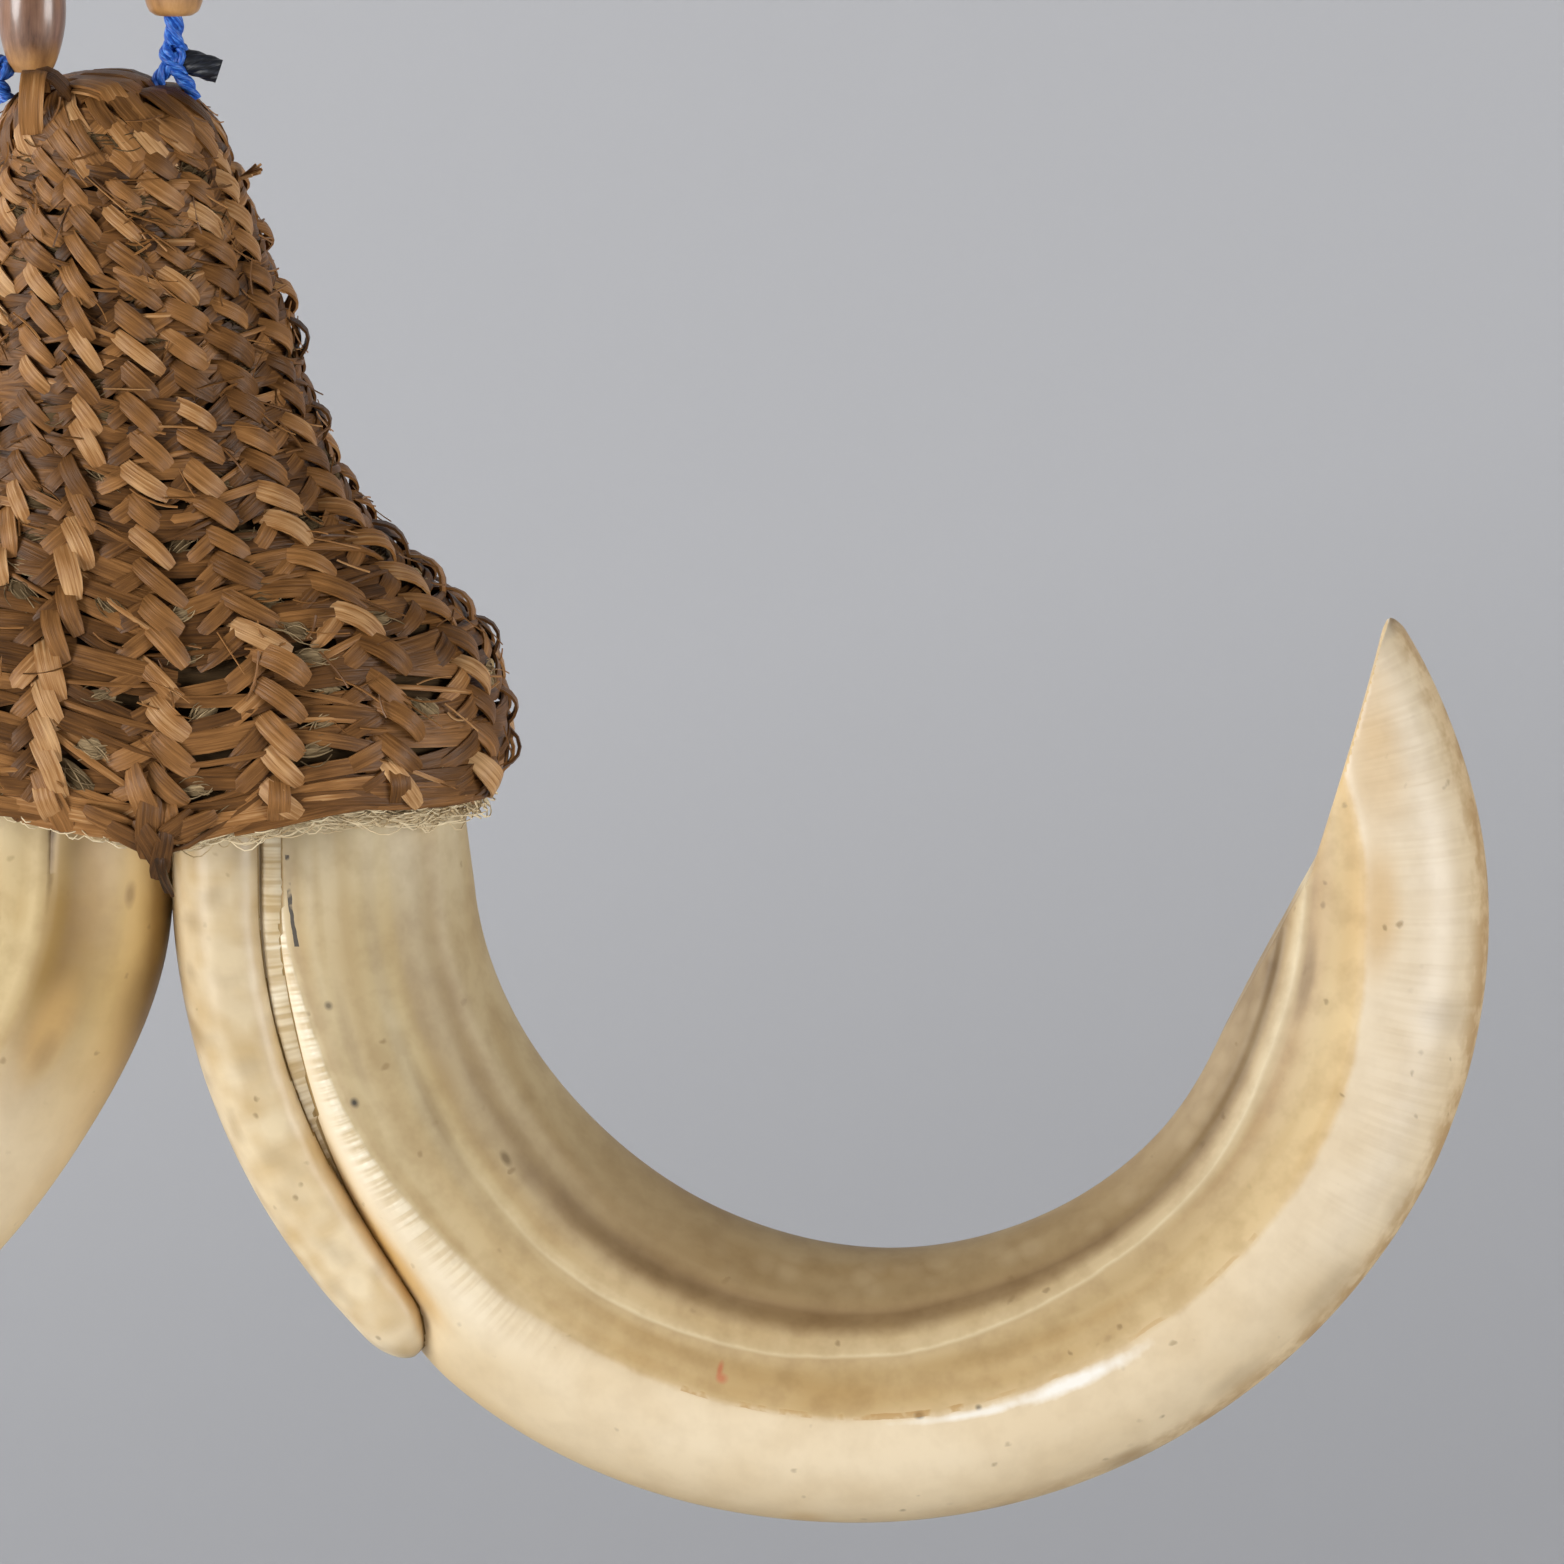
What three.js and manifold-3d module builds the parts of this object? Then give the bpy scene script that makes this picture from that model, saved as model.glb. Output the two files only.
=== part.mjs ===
// Boar tusk ornament: two curled boar tusks held root to root in a woven rattan cap,
// hung by a blue beaded cord. Millimetres, +Z up, the front of the ornament faces -Y.
// The origin is the point under the top of the cord's loop, where a hook bears.

import * as THREE from 'three';
import { mergeVertices } from 'three/addons/utils/BufferGeometryUtils.js';
import Module from 'manifold-3d';

const wasm = await Module();
wasm.setup();

// Room between pieces that touch
const GAP = 0.3;

// Woven cap: a flattened bell. Stops are [share of the height above the rim, size].
const CAP_TOP = -30.5;
const CAP_RIM = -95.4;
const CAP_HALF_WIDTH = [[0, 31.6], [0.06, 32.6], [0.13, 32.2], [0.2, 30.8], [0.28, 26.4],
  [0.35, 21.9], [0.42, 18.9], [0.56, 15.9], [0.7, 14], [0.84, 12], [0.95, 9.8], [1, 8.5]];
const CAP_HALF_DEPTH = [[0, 18.4], [0.06, 18.9], [0.2, 17.8], [0.35, 15], [0.55, 12.4], [0.75, 10.6],
  [0.95, 8.6], [1, 7.4]];
const CAP_CENTRE = [[0, 4], [0.3, 3.4], [0.6, 2.2], [1, 0.2]];
const CAP_SQUARENESS = [[0, 2.7], [0.3, 2.4], [0.5, 2], [1, 2]];
const CAP_WALL = 1.5;
const WEAVE_COLUMNS = 20;
const WEAVE_ROWS = 16;
const STITCH_HEIGHT = 1.2;
const FACETS_PER_COLUMN = 3;
const FACETS_PER_ROW = 2;
const CAP_SEAT = 0.3;
const INNER_SHARES = [0, 0.04, 0.09, 0.16, 0.42];

// Woven tongue at the rim, between the tusks
const TONGUE_CENTRE = [5, -16.2, -97];
const TONGUE_RADII = [3.4, 1.9, 5.6];

// Fibre packing between the tusk roots and the cap
const LINING_DROP = 1.3;
const LINING_ROWS = 4;

// A tusk curls round a centre. Angles run in degrees from the root side, under the centre, to the tip.
// Stops are [angle, radius or half depth].
const TUSK_INNER = [[0, 34.6], [40, 32.3], [70, 32.6], [105, 34.7], [140, 36.8], [165, 37.3],
  [190, 39.5], [204, 45], [215, 53.8]];
const RIGHT_OUTER = [[0, 55.2], [15, 55.2], [40, 57.6], [52, 59.3], [90, 59.6], [140, 60.1],
  [155, 60.1], [180, 58.8], [196, 57], [215, 53.8]];
const LEFT_OUTER = [[0, 62.2], [12, 62.6], [28, 61.2], [40, 60.4], [58, 59.5], [90, 59.4], [140, 60.1],
  [155, 60.1], [180, 58.8], [196, 57], [215, 53.8]];
const TUSK_HALF_DEPTH = [[0, 10.8], [45, 10.6], [90, 10.2], [130, 9.4], [165, 8.5], [190, 7.2],
  [206, 5.4]];
const TUSK_TIP = 206;
const TIP_BACK = 5;
const ROOT_RISE = 0.8;
const ROOT_TAPER = 0.13;
const TUSK_RINGS = 32;
const TUSK_SIDES = 18;
const RIGHT_TUSK = { side: 1, centre: [68.4, -104.2], scale: 1, outer: RIGHT_OUTER, root: -27 };
const LEFT_TUSK = { side: -1, centre: [-59.6, -98.5], scale: 1.05, outer: LEFT_OUTER, root: -18 };

// Worn facets behind the tip, as two lines in the tusk's plane measured from its centre
const WEAR_START = 152;
const WEAR_LOW = [30.3, -21.8];
const WEAR_CORNER = [42.4, 1.4];
const WEAR_TIP = [50, 24.8];

// Across a tusk, -1 is the inside of the curl and 1 the outside: crest and [place, width, height]
// of the ridges and grooves on the front, in half depths
const CREST = 0.2;
const FRONT_RELIEF = [[0.18, 0.1, 0.07], [-0.06, 0.14, -0.05], [-0.46, 0.08, -0.09]];

// Finger-like lobe beside the right tusk's root. Stops are [angle, size].
const LOBE_RADIUS = [[-27, 58.1], [0, 58], [12, 57.8], [27, 58], [42, 58.4], [48, 58.9]];
const LOBE_HALF_WIDTH = [[-27, 4.4], [12, 4.4], [27, 3.7], [36, 3.1], [48, 2.3]];
const LOBE_HALF_DEPTH = [[-27, 8.4], [10, 8.2], [30, 6.8], [48, 4.6]];
const LOBE_TIP = 48;
const LOBE_ROUNDING = 4.5;
const LOBE_FORWARD = 1.2;
const LOBE_RINGS = 16;
const LOBE_SIDES = 10;

// Hanging cord: up the left strand, over the hook and down the right strand
const CORD_RADIUS = 0.95;
const CORD_HALF_SIDES = 4;
const CORD_STEPS = 24;
const CORD_ROUTE = [[-6.5, 0, -30], [-6.5, 0, -25], [-6.5, 0, -20], [-6.5, 0, -15], [-6.5, 0, -9],
  [-6.4, 0, -4.4], [-5.6, 0, -2.25], [-3.9, 0, -0.35], [-2, 0, 0.63], [0, 0, 0.95], [2, 0, 0.63],
  [3.9, 0, -0.35], [5.6, 0, -2.25], [6.4, 0, -4.4], [6.5, 0, -9], [6.5, 0, -15], [6.5, 0, -20],
  [6.5, 0, -26.5]];

// Barrel-shaped beads on the strands
const BEAD_LENGTH = 11.5;
const BEAD_RADIUS = 3.15;
const BEAD_END_RADIUS = 1.75;
const BEAD_BORE = 1.35;
const BEAD_STEPS = 6;
const BEAD_SEGMENTS = 12;
const LEFT_BEAD_FOOT = -29;
const RIGHT_BEAD_FOOT = -23.8;

// Knots of the cord at the cap, and the stub of black cord in the right one
const RIGHT_KNOT_CENTRE = [6.4, 0, -28.3];
const RIGHT_KNOT_RADII = [1.9, 1.6, 1.5];
const RIGHT_KNOT_LEGS = [[5.1, 0, -29.9], [7.6, 0, -29.8]];
const KNOT_LEG_RADIUS = 0.75;
const LEFT_KNOT_CENTRE = [-10.3, 0, -29.9];
const LEFT_KNOT_RADII = [1.5, 1.5, 1.8];
const STUB_RADIUS = 1.2;
const STUB_LENGTH = 3;
const STUB_SIDES = 12;
const STUB_PLACE = [10.1, 0, -28.5];
const STUB_LEAN = 0.18;

// Value at a place on a smooth curve through the stops
function through(stops, place) {
  const last = stops.length - 2;
  let i = stops.findIndex((stop) => stop[0] > place) - 1;
  i = i === -2 ? last : Math.max(i, 0);
  const [x0, y0] = stops[i];
  const [x1, y1] = stops[i + 1];
  const slope = (j) => {
    const before = stops[Math.max(j - 1, 0)];
    const after = stops[Math.min(j + 1, stops.length - 1)];
    return (after[1] - before[1]) / (after[0] - before[0]);
  };
  const step = x1 - x0;
  const t = THREE.MathUtils.clamp((place - x0) / step, 0, 1);
  const s = 1 - t;
  const level = y0 * s * s * (1 + 2 * t) + y1 * t * t * (1 + 2 * s);
  return level + step * t * s * (slope(i) * s - slope(i + 1) * t);
}

// Moves every point of a geometry to where place(turn, along) puts it
function reshape(geometry, place) {
  const { position, uv } = geometry.attributes;
  for (let i = 0; i < position.count; i += 1) {
    position.setXYZ(i, ...place(uv.getX(i), 1 - uv.getY(i)));
  }
  return geometry;
}

// Closed solid of a geometry, for joins and cuts
function solid(geometry) {
  const bare = geometry.clone();
  bare.deleteAttribute('normal');
  bare.deleteAttribute('uv');
  const whole = mergeVertices(bare, 1e-3);
  return new wasm.Manifold(new wasm.Mesh({
    numProp: 3,
    vertProperties: Float32Array.from(whole.attributes.position.array),
    triVerts: Uint32Array.from(whole.index.array),
  }));
}

// Geometry of a joined or cut solid
function geometryOf(body) {
  const { vertProperties, triVerts } = body.getMesh();
  const geometry = new THREE.BufferGeometry();
  geometry.setAttribute('position', new THREE.BufferAttribute(vertProperties, 3));
  geometry.setIndex(new THREE.BufferAttribute(triVerts, 1));
  geometry.computeVertexNormals();
  return geometry;
}

// Point of the cap's cross-section at a share of its height, drawn in or out by an offset
function capPoint(share, turn, offset) {
  const angle = turn * 2 * Math.PI;
  const power = 2 / through(CAP_SQUARENESS, share);
  const bend = (x) => Math.sign(x) * Math.abs(x) ** power;
  const x = (through(CAP_HALF_WIDTH, share) + offset) * bend(Math.sin(angle));
  const y = (through(CAP_HALF_DEPTH, share) + offset) * bend(Math.cos(angle));
  return [through(CAP_CENTRE, share) + x, y, CAP_RIM + share * (CAP_TOP - CAP_RIM)];
}

// Height of the slanting stitches that run down the cap in columns
function stitchHeight(row, turn) {
  const across = (turn * WEAVE_COLUMNS * FACETS_PER_COLUMN) % FACETS_PER_COLUMN;
  const crest = (row + 1) % FACETS_PER_ROW;
  return Math.abs(across - crest) < 0.5 ? STITCH_HEIGHT : 0;
}

function tongue(swell) {
  const drop = new THREE.SphereGeometry(1, 10, 8);
  drop.scale(...TONGUE_RADII.map((radius) => radius + swell));
  drop.translate(...TONGUE_CENTRE);
  return solid(drop);
}

function cap() {
  const outerRows = WEAVE_ROWS * FACETS_PER_ROW;
  const wall = [];
  for (let row = 0; row <= outerRows; row += 1) {
    wall.push({ share: 1 - row / outerRows, row });
  }
  for (const share of [...INNER_SHARES, 1 - CAP_WALL / (CAP_TOP - CAP_RIM)]) {
    wall.push({ share, inside: true });
  }
  const profile = [0, ...wall.map(() => 1), 0].map((radius, i) => new THREE.Vector2(radius, -i));
  const shell = new THREE.LatheGeometry(profile, WEAVE_COLUMNS * FACETS_PER_COLUMN);
  const place = (turn, along) => {
    const i = Math.round((1 - along) * (profile.length - 1));
    if (i === 0 || i === profile.length - 1) {
      const { share, inside } = wall[i === 0 ? 0 : wall.length - 1];
      const [, , z] = capPoint(share, 0, 0);
      return [through(CAP_CENTRE, share), 0, inside ? z : z - CAP_SEAT];
    }
    const { share, row, inside } = wall[i - 1];
    const edge = row === 0 || row === outerRows;
    const offset = edge ? 0 : stitchHeight(row, turn);
    return capPoint(share, turn, inside ? -CAP_WALL : offset);
  };
  return geometryOf(solid(reshape(shell, place)).add(tongue(0)));
}

// Radius at which the worn facets cut a ray from the tusk's centre
function wearRadius(angle) {
  if (angle < WEAR_START) {
    return 0;
  }
  const turn = angle * THREE.MathUtils.DEG2RAD;
  const ray = new THREE.Vector2(-Math.cos(turn), -Math.sin(turn));
  const cut = (from, to) => {
    const start = new THREE.Vector2(...from);
    const normal = new THREE.Vector2(to[1] - from[1], from[0] - to[0]);
    return start.dot(normal) / ray.dot(normal);
  };
  return Math.min(cut(WEAR_LOW, WEAR_CORNER), cut(WEAR_CORNER, WEAR_TIP));
}

// Depth of a tusk's front at a place across it, in half depths
function frontDepth(across) {
  const fall = across > CREST ? (across - CREST) / (1 - CREST) : (CREST - across) / (1 + CREST);
  const round = Math.max(0, 1 - fall ** 2) ** 0.58;
  const fade = Math.min(1, 3 * round);
  const swell = (place, width) => Math.exp(-(((across - place) / width) ** 2));
  const raise = (sum, [place, width, height]) => sum + fade * height * swell(place, width);
  return FRONT_RELIEF.reduce(raise, round);
}

function backDepth(across) {
  return 0.9 * Math.max(0, 1 - Math.abs(across) ** 2.3) ** 0.55;
}

// Place in space of a point at a radius, angle and depth of a tusk. The root runs straight up.
function tuskPlace({ side, centre, scale }, angle, radius, depth) {
  const turn = Math.max(angle, 0) * THREE.MathUtils.DEG2RAD;
  const rise = Math.max(-angle, 0) * ROOT_RISE;
  const back = TIP_BACK * THREE.MathUtils.smoothstep(angle, 90, TUSK_TIP + 40) - depth;
  const x = centre[0] - side * scale * radius * Math.cos(turn);
  return [x, scale * back, centre[1] + scale * (rise - radius * Math.sin(turn))];
}

function tuskBody(tusk, swell) {
  const place = (turn, along) => {
    const ring = Math.max(along * TUSK_RINGS - 1, 0) / (TUSK_RINGS - 1);
    const angle = tusk.root + ring * (TUSK_TIP - tusk.root);
    const rise = Math.max(-angle, 0) * ROOT_RISE;
    const inner = through(TUSK_INNER, angle) + ROOT_TAPER * rise - swell;
    const outer = through(tusk.outer, angle) + swell;
    const middle = (inner + outer) / 2;
    const half = (outer - inner) / 2;
    const round = turn * 2 * Math.PI * tusk.side;
    const worn = THREE.MathUtils.clamp((wearRadius(angle) - middle) / half, -1, 1);
    if (along === 0 || along === 1) {
      return tuskPlace(tusk, angle, along === 1 ? outer : middle, 0);
    }
    const across = Math.cos(round);
    const depthAt = Math.sin(round) > 0 ? frontDepth : backDepth;
    const share = across < worn ? Math.min(depthAt(across), depthAt(worn)) : depthAt(across);
    const depth = (through(TUSK_HALF_DEPTH, angle) + swell) * share * Math.sign(Math.sin(round));
    return tuskPlace(tusk, angle, middle + half * Math.max(across, worn), depth);
  };
  return solid(reshape(new THREE.SphereGeometry(1, TUSK_SIDES, TUSK_RINGS), place));
}

// The lobe lies along the outside of the tusk and ends in a rounded tip
function lobeBody(tusk, swell) {
  const place = (turn, along) => {
    const ring = Math.max(along * LOBE_RINGS - 1, 0) / (LOBE_RINGS - 1);
    const angle = tusk.root + ring * (LOBE_TIP - tusk.root);
    const past = Math.max(angle - (LOBE_TIP - LOBE_ROUNDING), 0) / LOBE_ROUNDING;
    const size = along === 0 || along === 1 ? 0 : Math.sqrt(Math.max(1 - past ** 2, 0));
    const round = turn * 2 * Math.PI * tusk.side;
    const width = size * (through(LOBE_HALF_WIDTH, angle) + swell);
    const depth = size * (through(LOBE_HALF_DEPTH, angle) + swell);
    const radius = through(LOBE_RADIUS, angle) + width * Math.cos(round);
    return tuskPlace(tusk, angle, radius, LOBE_FORWARD + depth * Math.sin(round));
  };
  return solid(reshape(new THREE.SphereGeometry(1, LOBE_SIDES, LOBE_RINGS), place));
}

function rightTusk(swell) {
  return tuskBody(RIGHT_TUSK, swell).add(lobeBody(RIGHT_TUSK, swell));
}

function leftTusk(swell) {
  return tuskBody(LEFT_TUSK, swell);
}

// Packing that fills the cap's mouth round both roots and shows a little below the rim
function lining() {
  const shares = INNER_SHARES.slice(0, LINING_ROWS).reverse();
  const rows = [shares[0], ...shares, 0, 0];
  const profile = rows.map((share, i) => new THREE.Vector2(i === 0 || i === rows.length - 1 ? 0 : 1, -i));
  const plug = new THREE.LatheGeometry(profile, WEAVE_COLUMNS * FACETS_PER_COLUMN);
  const place = (turn, along) => {
    const i = Math.round((1 - along) * (rows.length - 1));
    const [x, y, z] = capPoint(rows[i], turn, -CAP_WALL - GAP);
    const middle = through(CAP_CENTRE, rows[i]);
    const spread = profile[i].x;
    return [middle + spread * (x - middle), spread * y, i > LINING_ROWS ? z - LINING_DROP : z];
  };
  const taken = [rightTusk(GAP), leftTusk(GAP), tongue(GAP)];
  return geometryOf(taken.reduce((packing, piece) => packing.subtract(piece), solid(reshape(plug, place))));
}

function bead() {
  const profile = [];
  for (let step = 0; step <= BEAD_STEPS; step += 1) {
    const along = step / BEAD_STEPS;
    const bulge = Math.sin(Math.PI * along) ** 0.75;
    const radius = BEAD_END_RADIUS + (BEAD_RADIUS - BEAD_END_RADIUS) * bulge;
    profile.push(new THREE.Vector2(radius, along * BEAD_LENGTH));
  }
  profile.push(new THREE.Vector2(BEAD_BORE, BEAD_LENGTH));
  profile.push(new THREE.Vector2(BEAD_BORE, 0));
  profile.push(profile[0].clone());
  return new THREE.LatheGeometry(profile, BEAD_SEGMENTS).rotateX(Math.PI / 2);
}

function tube(path, radius, steps) {
  const section = new THREE.Shape();
  section.absarc(0, 0, radius, 0, 2 * Math.PI);
  return new THREE.ExtrudeGeometry(section, { steps, curveSegments: CORD_HALF_SIDES, extrudePath: path });
}

function cord() {
  const route = CORD_ROUTE.map((point) => new THREE.Vector3(...point));
  return tube(new THREE.CatmullRomCurve3(route), CORD_RADIUS, CORD_STEPS);
}

function knot(centre, radii) {
  const lump = new THREE.SphereGeometry(1, 10, 6);
  lump.scale(...radii);
  lump.translate(...centre);
  return lump;
}

// Knot with two legs that go down into the weave
function rightKnot() {
  const middle = new THREE.Vector3(...RIGHT_KNOT_CENTRE);
  const legs = RIGHT_KNOT_LEGS.map((foot) => {
    const path = new THREE.LineCurve3(middle, new THREE.Vector3(...foot));
    return solid(tube(path, KNOT_LEG_RADIUS, 1));
  });
  const lump = solid(knot(RIGHT_KNOT_CENTRE, RIGHT_KNOT_RADII));
  return geometryOf(legs.reduce((joined, leg) => joined.add(leg), lump));
}

function stub() {
  const end = new THREE.CylinderGeometry(STUB_RADIUS, STUB_RADIUS, STUB_LENGTH, STUB_SIDES);
  return end.rotateZ(Math.PI / 2).rotateY(STUB_LEAN);
}

const rattan = new THREE.MeshStandardMaterial({ color: 0x966e48, roughness: 0.6 });
const fibre = new THREE.MeshStandardMaterial({ color: 0xb5a588, roughness: 0.95 });
const tooth = new THREE.MeshStandardMaterial({ color: 0xe6d2ac, roughness: 0.35 });
const blueTwine = new THREE.MeshStandardMaterial({ color: 0x1e5abe, roughness: 0.7 });
const blackTwine = new THREE.MeshStandardMaterial({ color: 0x232837, roughness: 0.7 });
const seed = new THREE.MeshStandardMaterial({ color: 0x8c6950, roughness: 0.25 });

const ornament = new THREE.Group();

function add(name, geometry, material, place = [0, 0, 0]) {
  const mesh = new THREE.Mesh(geometry, material);
  mesh.name = name;
  mesh.position.set(...place);
  ornament.add(mesh);
}

add('woven_cap', cap(), rattan);
add('fibre_lining', lining(), fibre);
add('left_tusk', geometryOf(leftTusk(0)), tooth.clone());
add('right_tusk', geometryOf(rightTusk(0)), tooth.clone());
add('hanging_cord', cord(), blueTwine.clone());
add('left_knot', knot(LEFT_KNOT_CENTRE, LEFT_KNOT_RADII), blueTwine.clone());
add('right_knot', rightKnot(), blueTwine.clone());
add('black_cord_end', stub(), blackTwine, STUB_PLACE);
add('left_bead', bead(), seed.clone(), [CORD_ROUTE[0][0], 0, LEFT_BEAD_FOOT]);
add('right_bead', bead(), seed.clone(), [CORD_ROUTE.at(-1)[0], 0, RIGHT_BEAD_FOOT]);

export default ornament;
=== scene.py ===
"""Boar tusk ornament: two curled tusks set root to root in a woven rattan cap, hung by a beaded blue cord.

Sizes are in millimetres until a point is placed, and the front of the ornament faces -Y.
"""

import math
import random
from bisect import bisect_left
from functools import lru_cache

import bmesh
import bpy
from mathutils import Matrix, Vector, noise


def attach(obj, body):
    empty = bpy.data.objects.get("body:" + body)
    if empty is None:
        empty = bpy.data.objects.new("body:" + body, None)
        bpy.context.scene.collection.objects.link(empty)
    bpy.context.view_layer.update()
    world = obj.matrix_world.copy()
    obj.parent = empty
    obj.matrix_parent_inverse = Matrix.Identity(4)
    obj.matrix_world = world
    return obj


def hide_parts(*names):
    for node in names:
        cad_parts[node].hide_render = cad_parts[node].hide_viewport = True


MM = 0.001

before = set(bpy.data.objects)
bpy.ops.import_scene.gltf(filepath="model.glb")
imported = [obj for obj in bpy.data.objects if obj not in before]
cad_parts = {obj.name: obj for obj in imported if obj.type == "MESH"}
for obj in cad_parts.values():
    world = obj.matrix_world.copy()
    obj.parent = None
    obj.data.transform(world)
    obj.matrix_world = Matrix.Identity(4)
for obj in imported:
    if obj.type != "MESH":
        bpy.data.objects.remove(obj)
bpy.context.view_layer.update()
chance = random.Random(11)

# Camera: level with the cap's rim and a little above it, far off, as the photograph was taken
VIEW_TARGET = (62.1, 0, -94.65)
VIEW_DISTANCE = 1600
VIEW_ELEVATION = 8
VIEW_WIDTH = 143.9
SENSOR = 36

# Room: a grey wall behind the ornament and a pale floor below it
WALL_BEHIND = 450
FLOOR_LEVEL = -330
ROOM_HALF_WIDTH = 1500

# Painted shade on the wall: shades of paint from low to high, darker low down. They slant, so that it is
# darker to the right.
WALL_LOW = -1460
WALL_HIGH = -1220
WALL_SLANT = (-0.3, 1.0, 0.0)
WALL_PAINTED_SHADE = [(0.0, "9b9ca0"), (0.25, "a2a3a7"), (0.55, "aeafb3"), (1.0, "b1b2b6")]
FLOOR_SHADES = [(0.0, "cfcdc8"), (1.0, "d3d1cc")]

# Lamps: name, place and width in mm, and power in watts
LAMPS = [("left_lamp", (-1150, -850, 50), 800, 21),
         ("right_lamp", (1300, -750, -100), 800, 16.5),
         ("low_lamp", (200, -1200, -700), 600, 6),
         ("back_lamp", (-900, 400, 300), 500, 5),
         ("glint_lamp", (200, -1250, -580), 120, 1)]
ROOM_LIGHT = "c4c6cc"
ROOM_LIGHT_STRENGTH = 0.2

# Edges sharper than this, in degrees, stay sharp
SHARP_EDGE = 40

# Woven cap: a flattened bell. Stops are [share of the height above the rim, size].
CAP_TOP = -30.5
CAP_RIM = -95.4
CAP_HALF_WIDTH = [[0, 31.6], [0.06, 32.6], [0.13, 32.2], [0.2, 30.8], [0.28, 26.4], [0.35, 21.9],
                  [0.42, 18.9], [0.56, 15.9], [0.7, 14], [0.84, 11.8], [0.9, 10.5], [0.95, 9], [1, 6.6]]
CAP_HALF_DEPTH = [[0, 18.4], [0.06, 18.9], [0.2, 17.8], [0.35, 15], [0.55, 12.4], [0.75, 10.6],
                  [0.95, 8.2], [1, 6.2]]
CAP_CENTRE = [[0, 4], [0.3, 3.4], [0.6, 2.2], [1, 0.2]]
CAP_SQUARENESS = [[0, 2.7], [0.3, 2.4], [0.5, 2], [1, 2]]
CAP_WIDEST = 0.15
GIRTH_STEPS = 720

# Weave: columns of stitches over rows of flat strips
WEAVE_COLUMNS = 16
FIRST_COLUMN = 0.488
ROW_PITCH = [[0, 3.1], [0.3, 3.05], [0.7, 2.9], [1, 2.8]]
BASE_SPACING = 11
STRIP_STEPS = 7
STRIP_THICKNESS = 0.36
STITCH_WIDTH = 2.2
WEFT_WIDTH = 1.9
FIBRE_STEPS = 5
STRIP_MARKS = ("along", "across", "tone")

# Each strip's tone also moves the grain, so that no two strips show the same piece of it
GRAIN_SHIFT = 91.7

# Backing behind the strips: shares of the cap's height, how far in it lies, and its faces. It is dark fibre,
# painted darker still as the shade in the gaps.
BACKING_TOP = 0.985
BACKING_HEIGHT = 0.98
BACKING_LIFT = -0.9
BACKING_THICKNESS = 0.9
BACKING_ROWS = 40
BACKING_SIDES = 120

# Columns to the left of the first stand steeper, and the rows between columns tilt
STEEP_COLUMNS = (13, 14, 15)
GAP_TILT = {15: -0.2, 0: 0.03, 1: -0.04, 2: 0.05}

# The rim hangs lowest at the front middle and rises to both sides
RIM_LOWEST = 6
RIM_DIP = 1.1
RIM_RISE = 2.6
RIM_REACH = 18

# Crown: height of its dome over the cap's top and half sizes to the sides and front
CROWN_RISE = 0.7
CROWN_HALF = (7.4, 6.6)
CROWN_STRIPS = 13

# Strips over the crown's edge, in two tiers: share of the height, number, and 1 where they tuck in on top
FOLD_TIERS = [(0.885, 28, 0), (0.935, 24, 1)]

# Two strips at the left bead: one comes up the front and over, the other folds across behind it
STANDING_STRIP = [(-6.2, -7.2, -34), (-6.3, -8.0, -32.8), (-6.3, -8.2, -31.2), (-6.2, -7.9, -29.7),
                  (-6.1, -7.2, -28.7), (-6.0, -6.2, -28.4), (-5.8, -5.2, -28.9), (-5.6, -4.4, -30.4)]
FOLDED_STRIP = [(-7.2, -5.4, -30.6), (-6.6, -5.7, -29.4), (-5.8, -5.8, -28.7), (-5, -5.9, -28.5),
                (-4.2, -5.9, -28.9), (-3.5, -5.9, -29.6), (-2.8, -5.8, -30.4), (-2.2, -5.6, -31.4)]
FOLD_MIDDLE = (-5, -5, -31)

# Loops of strip that stand off the right side of the cap: share of the height, half length, lift
LOOSE_LOOPS = [(0.64, 2.6, 1.9), (0.52, 2.2, 1.5), (0.34, 3.2, 1.6), (0.29, 3.0, 1.7), (0.245, 2.8, 1.6),
               (0.2, 2.6, 1.6), (0.1, 2.2, 1.4), (0.04, 2.4, 1.7)]

# Loose fibres: a tuft at a share of the height and a turn, frays on the weave, and those of the lining
TUFT_PLACE = (0.872, 0.258)
TUFT_FIBRES = 9
FRAYS = 520
WAD_STRANDS = 9
RIM_FIBRES = 2600

# Packing under the rim: share of the cap's height, spread from its middle, and share of the hang
LINING_LEVELS = [(0.16, 0, 0), (0.09, 1, 0), (0.04, 1, 0), (0.0, 1, 0.3), (0.0, 0.985, 0.75),
                 (0.0, 0.95, 1), (0.0, 0.85, 1.05), (0.0, 0, 1)]
LINING_SIDES = 160

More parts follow.
